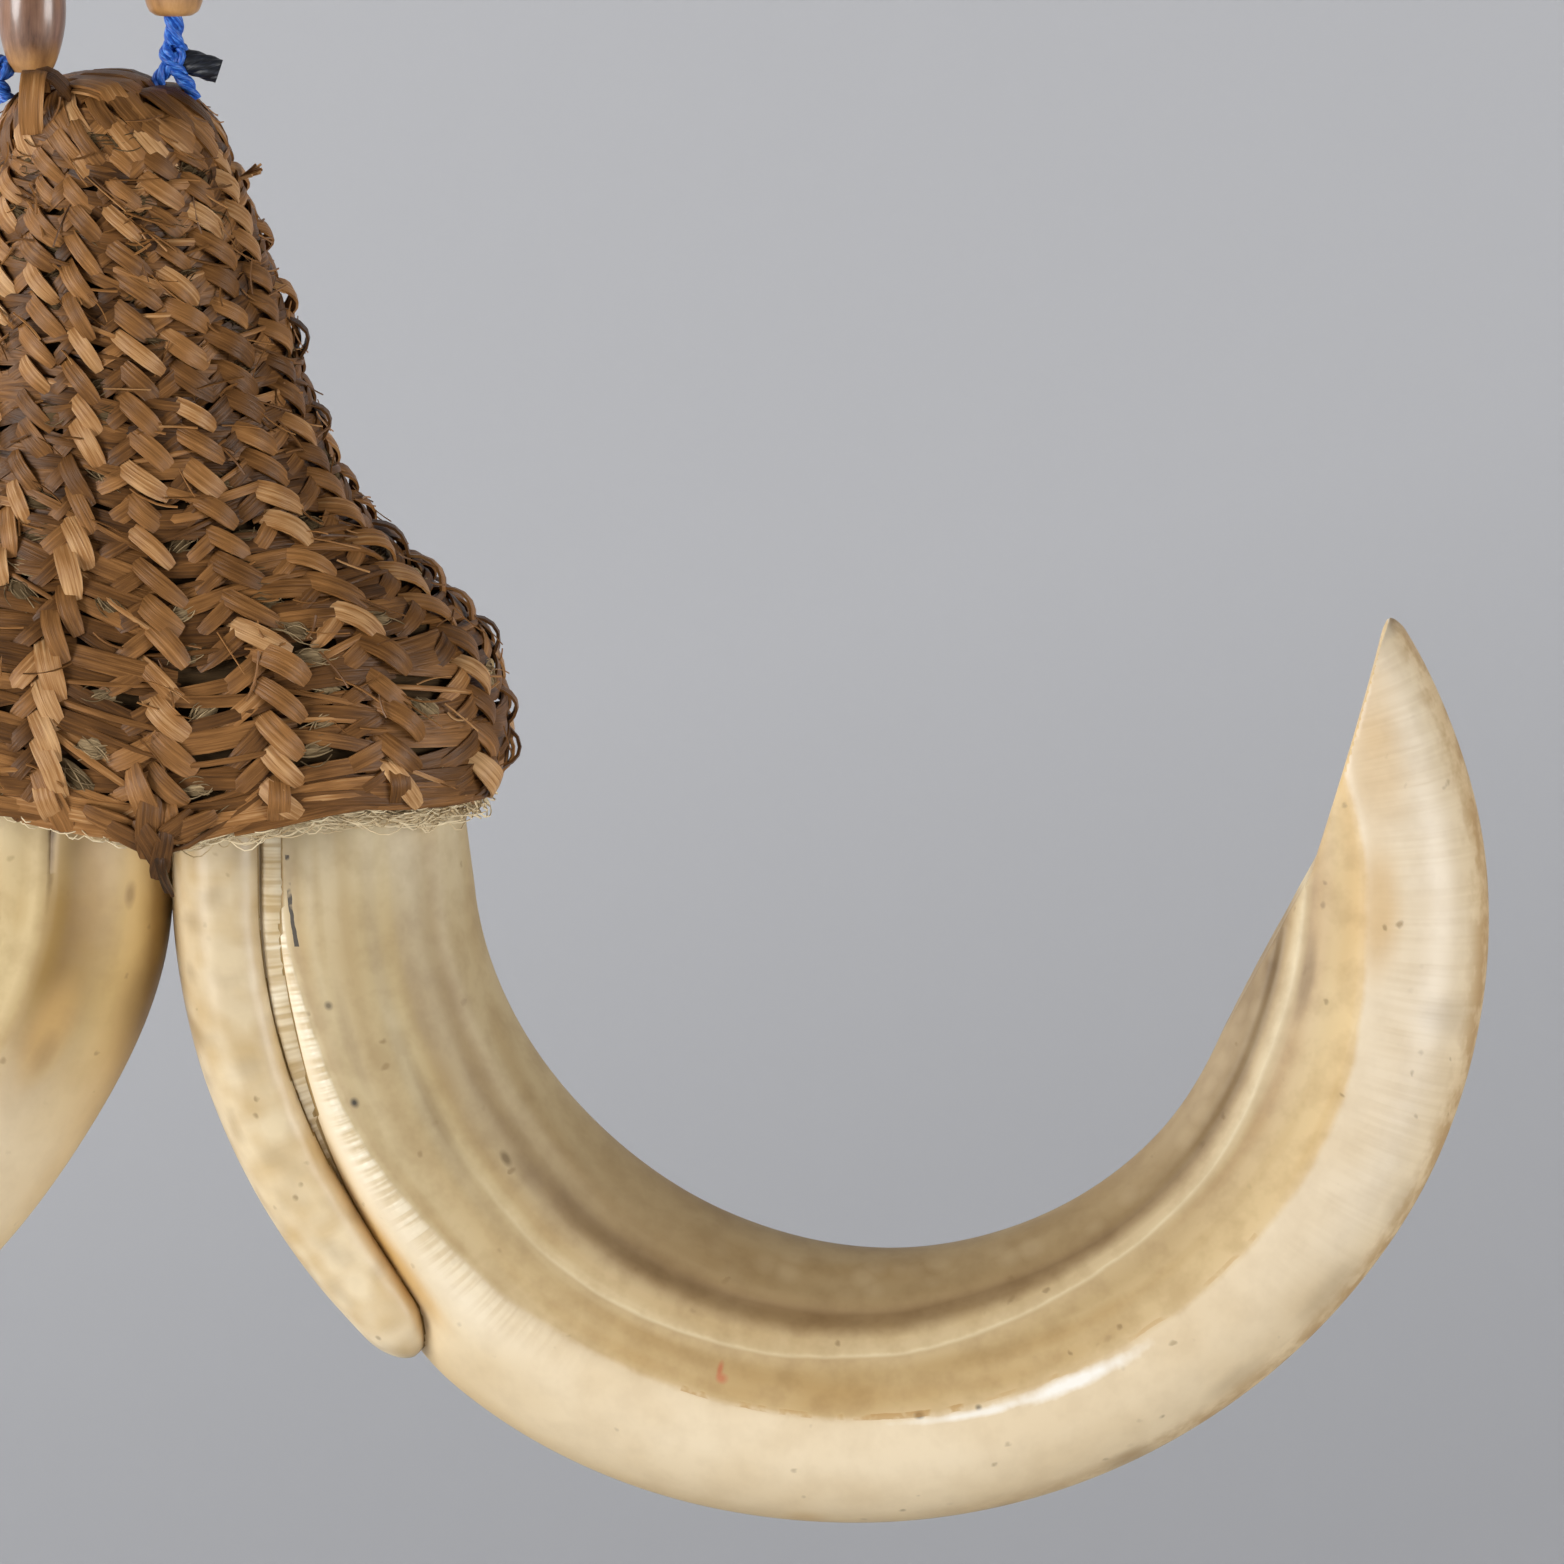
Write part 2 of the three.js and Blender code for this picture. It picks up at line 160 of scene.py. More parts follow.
# A tusk curls round a centre. Angles run in degrees from the root side, under the centre, to the tip.
TUSK_INNER = [[0, 34.6], [40, 32.3], [70, 32.6], [105, 34.7], [140, 36.8], [165, 37.3], [190, 39.5],
              [204, 45], [215, 53.8]]
RIGHT_OUTER = [[0, 55.2], [15, 55.2], [40, 57.6], [52, 59.3], [90, 59.6], [140, 60.1], [155, 60.1],
               [180, 58.8], [196, 57.1], [206, 55.9], [215, 54.2]]
LEFT_OUTER = [[0, 62.6], [12, 62.9], [28, 61.2], [40, 60.4], [58, 59.5], [90, 59.4], [140, 60.1],
              [155, 60.1], [180, 58.8], [196, 57.1], [206, 55.9], [215, 54.2]]
TUSK_HALF_DEPTH = [[0, 10.8], [45, 10.6], [90, 10.2], [130, 9.4], [165, 8.5], [190, 7.2], [206, 5.4]]
TUSK_TIP = 206
TIP_BACK = 5
CURL_RADIUS = 47
ROOT_RISE = 0.8
ROOT_TAPER = 0.13
CREST = 0.2

# Worn facets behind the tip, as two lines in the tusk's plane measured from its centre
WEAR_START = 152
WEAR_LOW = (30.3, -21.8)
WEAR_CORNER = (42.4, 1.4)
WEAR_TIP = (49.5, 25)
WEAR_TILT = 0.12
WORN_ZONE = 0.57
TIP_ROUNDING = 1.6

# Lines along a tusk. Across it, -1 is the inside of the curl and 1 the outside; stops are [angle, across].
ENAMEL_EDGE = [[-27, 0.74], [0, 0.71], [13, 0.6], [24, 0.5], [37, 0.335], [50, 0.2], [60, 0.145],
               [75, 0.125], [95, 0.105], [115, 0.07], [140, 0.05], [157, 0.036], [167, -0.04],
               [177, -0.11], [184, -0.13], [192, -0.24], [206, -0.55]]
LEFT_ENAMEL_EDGE = [[-18, 0.3], [0, 0.28], [25, 0.24], [50, 0.17], [75, 0.125], [95, 0.105], [115, 0.07],
                    [140, 0.05], [157, 0.036], [167, -0.04], [177, -0.11], [184, -0.13], [192, -0.24],
                    [206, -0.55]]
FINE_RIDGE = [[-27, -0.1], [40, -0.17], [60, -0.2], [72, -0.245], [81, -0.27], [89, -0.32], [97, -0.35],
              [104, -0.4], [114, -0.47], [124, -0.52], [147, -0.585], [158, -0.63], [206, -0.68]]
GROOVE = [[-27, -0.5], [55, -0.54], [75, -0.55], [95, -0.6], [104, -0.65], [114, -0.68], [135, -0.7],
          [206, -0.8]]

# Finger-like lobe beside the right tusk's root, and the web that joins it there. Stops are [angle, size].
# Fullness is for the inner and the outer side, squarer where it is lower. The seam is a groove in the web,
# with painted shade along it.
LOBE = {"radius": [[-27, 58.1], [0, 58], [12, 57.8], [27, 57.7], [36, 57.7], [43, 58], [48, 58.8]],
        "half_width": [[-27, 4.4], [12, 4.4], [27, 4.0], [36, 3.7], [43, 3.2], [48, 2.5]],
        "half_depth": [[-27, 8.4], [10, 8.2], [30, 6.8], [48, 4.6]],
        "forward": [[-27, 1.2], [15, 1.2], [34, 2.2], [48, 2.6]],
        "tip": 47.4, "rounding": 4.5, "fullness": (0.58, 0.95), "sides": 64, "seam": None}
WEB = {"radius": [[-27, 53.1], [12, 53.1], [24, 53.5], [34, 54.1]],
       "half_width": [[-27, 2.4], [12, 2.4], [24, 1.9], [34, 1.3]],
       "half_depth": [[-27, 7.45], [6, 7.45], [12, 7.4], [18, 7], [24, 6.3], [30, 5.3], [36, 4.4]],
       "forward": [[-27, 0.6], [38, 0.6]],
       "tip": 36, "rounding": 5, "fullness": (0.5, 0.5), "sides": 160, "seam": 0.42}
LOBE_STEPS = 130

RIGHT_TUSK = {"side": 1, "centre": (68.4, -104.2), "scale": 1, "outer": RIGHT_OUTER, "root": -27,
              "enamel": ENAMEL_EDGE, "ridge": 1, "steps": 430, "sides": 160}
LEFT_TUSK = {"side": -1, "centre": (-59.6, -98.5), "scale": 1.05, "outer": LEFT_OUTER, "root": -18,
             "enamel": LEFT_ENAMEL_EDGE, "ridge": 0.2, "steps": 360, "sides": 144}

# Hanging cord: up the left strand, over the hook and down the right strand
CORD_RADIUS = 0.95
CORD_ROUTE = [[-6.5, 0, -30], [-6.5, 0, -25], [-6.5, 0, -20], [-6.5, 0, -15], [-6.5, 0, -9],
              [-6.4, 0, -4.4], [-5.6, 0, -2.25], [-3.9, 0, -0.35], [-2, 0, 0.63], [0, 0, 0.95],
              [2, 0, 0.63], [3.9, 0, -0.35], [5.6, 0, -2.25], [6.4, 0, -4.4], [6.5, 0, -9],
              [6.5, 0, -15], [6.5, 0, -20], [6.5, 0, -26.5]]
CORD_PLIES = 3
CORD_LAY = 5.2
CORD_SPACING = 0.4
PLY_SHARE = 0.54

# Beads, knots and the stub of black cord
BEAD_LENGTH = 11.5
BEAD_RADIUS = 3.15
BEAD_END_RADIUS = 1.75
BEAD_BORE = 1.35
LEFT_BEAD = (-6.5, 0, -29)
RIGHT_BEAD = (6.5, 0, -23.8)
LEFT_FULLNESS = 0.75
RIGHT_FULLNESS = 0.42
LEFT_KNOT = [[-9, 0.9, -31.6], [-9.9, 0.9, -30.7], [-10.4, 0, -30], [-9.8, -0.9, -29.5], [-9, -0.8, -29],
             [-8.6, 0.1, -28.6], [-9.2, 0.9, -28.2], [-10.1, 0.5, -28.4], [-10.3, -0.5, -29.2],
             [-9.5, -1, -30.1], [-8.7, -0.7, -31.4]]
RIGHT_KNOT = [[4.8, 0, -31], [5.2, -0.2, -29.6], [5.9, -0.5, -28.6], [6.8, -0.6, -27.9], [7.2, 0, -27.2],
              [6.7, 0.6, -26.7], [6, 0.5, -26.7], [5.8, -0.2, -27.3], [6.2, -0.7, -28.1], [6.9, -0.6, -29],
              [7.6, -0.4, -30], [8.3, -0.3, -31.6]]
STUB_ENDS = [[6.9, 0.4, -27.9], [8.1, 0.2, -28.2], [9.4, 0, -28.6], [10.6, 0, -29]]
KNOT_CORD_RADIUS = 0.76
KNOT_PLIES = 3
STUB_RADIUS = 1.2
STUB_PLIES = 6
TIED_LAY = 1.4


def through(stops, place):
    """Value at a place on a smooth curve through the stops."""
    i = 0
    while i < len(stops) - 2 and stops[i + 1][0] <= place:
        i += 1
    x0, y0 = stops[i]
    x1, y1 = stops[i + 1]

    def slope(j):
        before = stops[max(j - 1, 0)]
        after = stops[min(j + 1, len(stops) - 1)]
        return (after[1] - before[1]) / (after[0] - before[0])

    step = x1 - x0
    t = min(max((place - x0) / step, 0), 1)
    s = 1 - t
    level = y0 * s * s * (1 + 2 * t) + y1 * t * t * (1 + 2 * s)
    return level + step * t * s * (slope(i) * s - slope(i + 1) * t)


def smooth(value, low, high):
    """0 below low, 1 above high, and a soft rise between."""
    t = min(max((value - low) / (high - low), 0), 1)
    return t * t * (3 - 2 * t)


def swell(value, middle, width):
    """A soft hump, 1 at the middle."""
    return math.exp(-((value - middle) / width) ** 2)


def shade(code):
    """A colour as seen on screen, in the renderer's linear values."""
    parts = [int(code[i:i + 2], 16) / 255 for i in (0, 2, 4)]
    return [p / 12.92 if p <= 0.04045 else ((p + 0.055) / 1.055) ** 2.4 for p in parts] + [1]


def bend_sheet(shape, steps, sides, place):
    """Bends a sheet of faces into a closed form. place gives a point and its marks for each step and side."""
    grid = bmesh.ops.create_grid(shape, x_segments=steps, y_segments=sides, size=0.5)["verts"]
    for vert in grid:
        step = round((vert.co.x + 0.5) * steps)
        side = round((vert.co.y + 0.5) * sides)
        point, marks = place(step, side)
        vert.co = Vector(point) * MM
        for name, value in marks.items():
            vert[shape.verts.layers.float[name]] = value
    bmesh.ops.remove_doubles(shape, verts=grid, dist=1e-7)


def new_shape(*marks):
    """An empty shape whose points can carry the named marks."""
    shape = bmesh.new()
    for name in marks:
        shape.verts.layers.float.new(name)
    return shape


def finished(name, shape, *materials, sharp=SHARP_EDGE):
    """The shape as an object, with its faces outward and smooth apart from sharp edges."""
    bmesh.ops.recalc_face_normals(shape, faces=shape.faces)
    mesh = bpy.data.meshes.new(name)
    shape.to_mesh(mesh)
    shape.free()
    mesh.shade_smooth()
    mesh.set_sharp_from_angle(angle=math.radians(sharp))
    for material in materials:
        mesh.materials.append(material)
    piece = bpy.data.objects.new(name, mesh)
    bpy.context.scene.collection.objects.link(piece)
    return piece


def part_of_ornament(piece, node):
    """The piece stands for a node and moves with the ornament."""
    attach(piece, "root")
    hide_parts(node)


def add(tree, kind, inputs=None, out=0, stops=None, **settings):
    """Adds a node with its settings and links, and gives back the output that is used."""
    made = tree.nodes.new(kind)
    for name, value in settings.items():
        setattr(made, name, value)
    for name, value in (inputs or {}).items():
        if isinstance(value, bpy.types.NodeSocket):
            tree.links.new(value, made.inputs[name])
        else:
            made.inputs[name].default_value = value
    if stops:
        ramp = made.color_ramp
        while len(ramp.elements) < len(stops):
            ramp.elements.new(1)
        for element, (place, code) in zip(ramp.elements, stops):
            element.position = place
            element.color = shade(code)
    return made.outputs[out] if made.outputs else made


def new_material(name):
    """A material with only its output, and the node tree to fill."""
    material = bpy.data.materials.new(name)
    material.use_nodes = True
    material.node_tree.nodes.clear()
    return material, material.node_tree


# Camera and light


def set_camera():
    """A long lens, so that the ornament is seen almost without perspective."""
    lens = bpy.data.cameras.new("camera")
    lens.sensor_width = SENSOR
    lens.lens = SENSOR * VIEW_DISTANCE / VIEW_WIDTH
    camera = bpy.data.objects.new("camera", lens)
    bpy.context.scene.collection.objects.link(camera)
    rise = math.radians(VIEW_ELEVATION)
    away = Vector((0, -math.cos(rise), math.sin(rise)))
    camera.location = (Vector(VIEW_TARGET) + VIEW_DISTANCE * away) * MM
    camera.rotation_euler = away.to_track_quat("Z", "Y").to_euler()
    bpy.context.scene.camera = camera


def light_studio():
    """Broad soft lamps on both sides of the camera, low so that curves are dim on top, and one behind."""
    for name, place, width, power in LAMPS:
        lamp = bpy.data.lights.new(name, "AREA")
        lamp.shape = "DISK"
        lamp.size = width * MM
        lamp.energy = power
        light = bpy.data.objects.new(name, lamp)
        bpy.context.scene.collection.objects.link(light)
        light.location = Vector(place) * MM
        light.rotation_euler = (Vector(place) - Vector(VIEW_TARGET)).to_track_quat("Z", "Y").to_euler()
    world = bpy.data.worlds.new("soft_room")
    world.use_nodes = True
    world.node_tree.nodes["Background"].inputs["Color"].default_value = shade(ROOM_LIGHT)
    world.node_tree.nodes["Background"].inputs["Strength"].default_value = ROOM_LIGHT_STRENGTH
    bpy.context.scene.world = world
    bpy.context.scene.view_settings.view_transform = "Standard"


def set_room():
    """A grey wall with painted shade, darker low down and to the right, and a pale floor, seen only from the
    room's side.
    """
    for name, stops in (("wall", WALL_PAINTED_SHADE), ("floor", FLOOR_SHADES)):
        # Emulsion paint: flat, without shine. On the wall its shades are painted shade.
        material, tree = new_material(name + " paint")
        place = add(tree, "ShaderNodeTexCoord", out="Object")
        height = add(tree, "ShaderNodeVectorMath", {0: place, 1: WALL_SLANT}, out="Value",
                     operation="DOT_PRODUCT")
        share = add(tree, "ShaderNodeMapRange", {"Value": height, "From Min": WALL_LOW * MM,
                                                 "From Max": WALL_HIGH * MM})
        paint = add(tree, "ShaderNodeValToRGB", {"Fac": share}, stops=stops)
        painted = add(tree, "ShaderNodeBsdfPrincipled", {"Base Color": paint, "Roughness": 0.9})
        behind = add(tree, "ShaderNodeNewGeometry", out="Backfacing")
        clear = add(tree, "ShaderNodeBsdfTransparent")
        one_sided = add(tree, "ShaderNodeMixShader", {"Fac": behind, 1: painted, 2: clear})
        add(tree, "ShaderNodeOutputMaterial", {"Surface": one_sided})
        shape = bmesh.new()
        bmesh.ops.create_grid(shape, x_segments=1, y_segments=1, size=ROOM_HALF_WIDTH * MM)
        piece = finished(name, shape, material)
        if name == "wall":
            piece.rotation_euler = (math.pi / 2, 0, 0)
            piece.location = (0, WALL_BEHIND * MM, (FLOOR_LEVEL + ROOM_HALF_WIDTH) * MM)
        else:
            piece.location = (0, (WALL_BEHIND - ROOM_HALF_WIDTH) * MM, FLOOR_LEVEL * MM)


# Cord, knots, stub and beads


def twine_material(name, dark, middle, light):
    """Twisted twine: shiny filaments, painted lighter where they stand up and with painted shade in the
    grooves between them.
    """
    material, tree = new_material(name)
    along = add(tree, "ShaderNodeAttribute", out="Fac", attribute_name="along")
    across = add(tree, "ShaderNodeAttribute", out="Fac", attribute_name="across")
    place = add(tree, "ShaderNodeCombineXYZ", {"X": along, "Y": across})
    # Filaments about 0.2 mm apart, coarser than real ones so that they show
    stretched = add(tree, "ShaderNodeMapping", {"Vector": place, "Scale": (0.8, 2.2, 1)})
    hairs = add(tree, "ShaderNodeTexNoise", {"Vector": stretched, "Scale": 2.5, "Detail": 4.0})
    colour = add(tree, "ShaderNodeValToRGB", {"Fac": hairs},
                 stops=[(0.3, dark), (0.5, middle), (0.72, light)])
    bump = add(tree, "ShaderNodeBump", {"Height": hairs, "Strength": 0.5, "Distance": 0.0001})
    surface = add(tree, "ShaderNodeBsdfPrincipled", {
        "Base Color": colour, "Roughness": 0.45, "Specular IOR Level": 0.45, "Normal": bump})
    add(tree, "ShaderNodeOutputMaterial", {"Surface": surface})
    return material


def spaced(points, spacing):
    """Points on a smooth line through the given ones, evenly spaced, with the length so far."""
    fine = []
    for i in range(len(points) - 1):
        p0, p1, p2, p3 = (Vector(points[min(max(i + k, 0), len(points) - 1)]) for k in (-1, 0, 1, 2))
        for k in range(24):
            t = k / 24
            fine.append(p1 + 0.5 * t * (p2 - p0 + t * (2 * p0 - 5 * p1 + 4 * p2 - p3
                                                       + t * (3 * (p1 - p2) + p3 - p0))))
    fine.append(Vector(points[-1]))
    lengths = [0]
    for before, after in zip(fine, fine[1:]):
        lengths.append(lengths[-1] + (after - before).length)
    count = max(round(lengths[-1] / spacing), 2)
    even = []
    i = 0
    for k in range(count + 1):
        wanted = lengths[-1] * k / count
        while i < len(fine) - 2 and lengths[i + 1] < wanted:
            i += 1
        span = lengths[i + 1] - lengths[i] or 1
        even.append((fine[i].lerp(fine[i + 1], (wanted - lengths[i]) / span), wanted))
    return even


def twist_cord(shape, points, radius, plies=CORD_PLIES, lay=CORD_LAY, sides=8):
    """Twists plies round a line. Each ply is a round thread that winds once in a lay length."""
    line = spaced(points, CORD_SPACING)
    ply_radius = radius * PLY_SHARE
    offset = radius - ply_radius
    last = len(line) - 1
    up = Vector((0, 1, 0.05)).normalized()
    for ply in range(plies):

        def place(step, side):
            inner = min(max(step - 1, 0), last)
            middle, length = line[inner]
            heading = (line[min(inner + 1, last)][0] - line[max(inner - 1, 0)][0]).normalized()
            across = heading.cross(up).normalized()
            turn = 2 * math.pi * (length / lay + ply / plies)
            out = across * math.cos(turn) + across.cross(heading) * math.sin(turn)
            round_out = 2 * math.pi * side / sides
            lean = heading.cross(out)
            size = 0 if step in (0, last + 2) else ply_radius
            point = middle + out * (offset + size * math.cos(round_out)) + lean * size * math.sin(round_out)
            return point, {"along": length, "across": ply * 5 + 0.8 * math.sin(round_out)}

        bend_sheet(shape, last + 2, sides, place)


def make_cord(blue):
    """The cord from the cap up the left strand, over the hook and down to the cap."""
    shape = new_shape("along", "across")
    twist_cord(shape, CORD_ROUTE, CORD_RADIUS)
    return finished("cord_loop", shape, blue, sharp=80)


def make_knots(blue, black):
    """The cord tied into the weave at both strands, and the black stub caught in the right knot."""
    made = []
    for name, points, radius, plies, material in (
            ("knot_left", LEFT_KNOT, KNOT_CORD_RADIUS, KNOT_PLIES, blue),
            ("knot_right", RIGHT_KNOT, KNOT_CORD_RADIUS, KNOT_PLIES, blue),
            ("cord_stub", STUB_ENDS, STUB_RADIUS, STUB_PLIES, black)):
        shape = new_shape("along", "across")
        twist_cord(shape, points, radius, plies=plies, lay=TIED_LAY * plies)
        made.append(finished(name, shape, material, sharp=80))
    return made


def bead_material():
    """Polished brown bead: streaks that run from end to end, tan at the ends, under a clear gloss."""
    material, tree = new_material("polished brown bead")
    place = add(tree, "ShaderNodeTexCoord", out="Object")
    # Streaks about 1.6 mm apart and 14 mm long
    stretched = add(tree, "ShaderNodeMapping", {"Vector": place, "Scale": (620, 620, 70)})
    streaks = add(tree, "ShaderNodeTexNoise", {"Vector": stretched, "Scale": 1.0, "Detail": 5.0,
                                              "Roughness": 0.65})
    body = add(tree, "ShaderNodeValToRGB", {"Fac": streaks},
               stops=[(0.32, "452f27"), (0.48, "735443"), (0.62, "8f6c58"), (0.8, "aa8a74")])
    tan = add(tree, "ShaderNodeValToRGB", {"Fac": streaks},
              stops=[(0.3, "8a5f38"), (0.6, "b98a55"), (0.8, "cda673")])
    end = add(tree, "ShaderNodeAttribute", out="Fac", attribute_name="end")
    colour = add(tree, "ShaderNodeMixRGB", {"Fac": end, "Color1": body, "Color2": tan})
    surface = add(tree, "ShaderNodeBsdfPrincipled", {
        "Base Color": colour, "Roughness": 0.3, "Coat Weight": 0.35, "Coat Roughness": 0.14})
    add(tree, "ShaderNodeOutputMaterial", {"Surface": surface})
    return material


def make_bead(name, foot, fullness, material):
    """A barrel turned round a bore, with rounded lips, and more bellied where its fullness is lower."""
    steps = 40
    sides = 40
    bore_steps = 6
    shape = new_shape("end")

    def place(step, side):
        turn = 2 * math.pi * side / sides
        k = step % steps
        outside = steps - bore_steps
        if k <= outside:
            along = k / outside
            bulge = math.sin(math.pi * along) ** fullness
            radius = BEAD_END_RADIUS + (BEAD_RADIUS - BEAD_END_RADIUS) * bulge
        else:
            along = 1 - (k - outside) / bore_steps
            radius = BEAD_BORE
        end = 1 - smooth(along, 0.04, 0.3)
        point = (foot[0] + radius * math.cos(turn), foot[1] + radius * math.sin(turn),
                 foot[2] + along * BEAD_LENGTH)
        return point, {"end": end}

    bend_sheet(shape, steps, sides, place)
    return finished(name, shape, material)


# Woven cap and its fibre lining


def cap_point(share, turn, lift):
    """Point of the cap at a share of its height and a turn round it, drawn out by a lift."""
    angle = turn * 2 * math.pi
    power = through(CAP_SQUARENESS, share)
    east = math.sin(angle)
    north = math.cos(angle)
    size = (abs(east) ** power + abs(north) ** power) ** (-1 / power)
    x = through(CAP_CENTRE, share) + (through(CAP_HALF_WIDTH, share) + lift) * east * size
    y = (through(CAP_HALF_DEPTH, share) + lift) * north * size
    rim = CAP_RIM - RIM_DIP + RIM_RISE * smooth(abs(x - RIM_LOWEST), 0, RIM_REACH)
    return Vector((x, y, rim + share * (CAP_TOP - rim)))


def cap_directions(share, turn):
    """Directions round the cap (to the right as seen from outside), up it and out of it, in mm per unit."""
    small = 0.004
    right = (cap_point(share, turn - small, 0) - cap_point(share, turn + small, 0)) / (2 * small)
    up = (cap_point(share + small, turn, 0) - cap_point(share - small, turn, 0)) / (2 * small)
    return right, up, right.cross(up).normalized()


@lru_cache
def girth():
    """Lengths so far round the cap's widest part, at many equal turns."""
    lengths = [0]
    for k in range(GIRTH_STEPS):
        step = cap_point(CAP_WIDEST, (k + 1) / GIRTH_STEPS, 0) - cap_point(CAP_WIDEST, k / GIRTH_STEPS, 0)
        lengths.append(lengths[-1] + step.length)
    return lengths


def column_turn(column):
    """Turn at which a column lies. The columns are evenly spaced round the widest part."""
    lengths = girth()
    wanted = (FIRST_COLUMN - column / WEAVE_COLUMNS) % 1 * lengths[-1]
    return bisect_left(lengths, wanted) / GIRTH_STEPS


def strip_blank():
    """A flat strip with a domed top, one unit long and wide, to bend into place."""
    shape = bmesh.new()
    bmesh.ops.create_grid(shape, x_segments=STRIP_STEPS, y_segments=2, size=0.5)
    grown = bmesh.ops.extrude_face_region(shape, geom=shape.faces[:])["geom"]
    for vert in shape.verts:
        vert.co.z = -0.5
    for vert in grown:
        if isinstance(vert, bmesh.types.BMVert):
            vert.co.z = 0.5 - 1.2 * vert.co.y ** 2
    bmesh.ops.recalc_face_normals(shape, faces=shape.faces)
    blank = bpy.data.meshes.new("strip_blank")
    shape.to_mesh(blank)
    shape.free()
    return blank


def thread_blank(steps):
    """A thin three-sided thread with pointed ends, one unit long, to bend into place."""
    shape = bmesh.new()
    bmesh.ops.create_cone(shape, segments=3, radius1=0.5, radius2=0.5, depth=1, cap_ends=True)
    lengthwise = [edge for edge in shape.edges if abs(edge.verts[0].co.z - edge.verts[1].co.z) > 0.5]
    bmesh.ops.subdivide_edges(shape, edges=lengthwise, cuts=steps - 1)
    for vert in shape.verts:
        vert.co = Vector((vert.co.z, vert.co.x, vert.co.y))
    blank = bpy.data.meshes.new("thread_blank")
    shape.to_mesh(blank)
    shape.free()
    return blank


class Layer:
    """Strips or threads laid one by one into a single shape."""

    def __init__(self, blank, steps, shape=None):
        self.blank = blank
        self.steps = steps
        self.shape = shape or new_shape(*STRIP_MARKS)
        self.scrap = bpy.data.meshes.new("scrap")

    def lay(self, route, width, thickness, tone, taper=0.0):
        """Bends one blank along a route of (point, outward direction) stations."""
        points = [station[0] for station in route]
        frames = []
        for i, (point, out) in enumerate(route):
            heading = points[min(i + 1, self.steps)] - points[max(i - 1, 0)]
            across = out.cross(heading).normalized()
            frames.append((point, across, heading.cross(across).normalized()))
        length = sum((b - a).length for a, b in zip(points, points[1:]))
        one = new_shape(*STRIP_MARKS)
        one.from_mesh(self.blank)
        along, across_mark, tone_mark = [one.verts.layers.float[mark] for mark in STRIP_MARKS]
        for vert in one.verts:
            share = vert.co.x + 0.5
            point, across, out = frames[round(share * self.steps)]
            narrow = 1 - taper * abs(2 * share - 1) ** 3
            side = vert.co.y * width * narrow
            vert[along] = share * length
            vert[across_mark] = side
            vert[tone_mark] = tone
            vert.co = (point + across * side + out * vert.co.z * thickness) * MM
        one.to_mesh(self.scrap)
        one.free()
        self.shape.from_mesh(self.scrap)


def cap_route(steps, share, turn, line):
    """Stations of a line over the cap: line(t) gives mm to the right, mm up and the lift at t from 0 to 1."""
    right, up, _ = cap_directions(share, turn)
    route = []
    for i in range(steps + 1):
        dx, dz, lift = line(i / steps)
        here = min(max(share + dz / up.length, -0.03), 1.02)
        spot = turn - dx / right.length
        _, _, out = cap_directions(min(max(here, 0.005), 0.995), spot)
        route.append((cap_point(here, spot, 0) + out * lift, out))
    return route


def rattan_material():
    """Split rattan: long fibres in brown, paler on strips of higher tone, with a soft satin sheen."""
    material, tree = new_material("split rattan")
    along, across, tone = [
        add(tree, "ShaderNodeAttribute", out="Fac", attribute_name=mark) for mark in STRIP_MARKS]
    shifted = add(tree, "ShaderNodeMath", {0: tone, 1: GRAIN_SHIFT}, operation="MULTIPLY")
    place = add(tree, "ShaderNodeCombineXYZ", {"X": along, "Y": across, "Z": shifted})

    # Fibres about 0.3 mm wide and 7 mm long, coarser than real ones so that they show, and patches of
    # 2 to 3 mm
    stretched = add(tree, "ShaderNodeMapping", {"Vector": place, "Scale": (0.14, 3.6, 1)})
    fibres = add(tree, "ShaderNodeTexNoise", {"Vector": stretched, "Scale": 1.0, "Detail": 3.0,
                                              "Roughness": 0.68})
    broad = add(tree, "ShaderNodeMapping", {"Vector": place, "Scale": (0.3, 0.5, 1)})
    patches = add(tree, "ShaderNodeTexNoise", {"Vector": broad, "Scale": 1.0, "Detail": 1.0})
    level = add(tree, "ShaderNodeMath", {0: fibres, 1: 0.75, 2: tone}, operation="MULTIPLY_ADD")
    mixed = add(tree, "ShaderNodeMath", {0: patches, 1: 0.35, 2: level}, operation="MULTIPLY_ADD")
    reach = add(tree, "ShaderNodeMapRange", {"Value": mixed, "From Min": 0.36, "From Max": 1.42})
    colour = add(tree, "ShaderNodeValToRGB", {"Fac": reach},
                 stops=[(0.0, "1f1409"), (0.25, "432a13"), (0.5, "694522"), (0.75, "97693b"),
                        (1.0, "cda373")])
    bump = add(tree, "ShaderNodeBump", {"Height": fibres, "Strength": 0.55, "Distance": 0.00025})
    surface = add(tree, "ShaderNodeBsdfPrincipled", {
        "Base Color": colour, "Roughness": 0.42, "Specular IOR Level": 0.22, "Normal": bump})
    add(tree, "ShaderNodeOutputMaterial", {"Surface": surface})
    return material


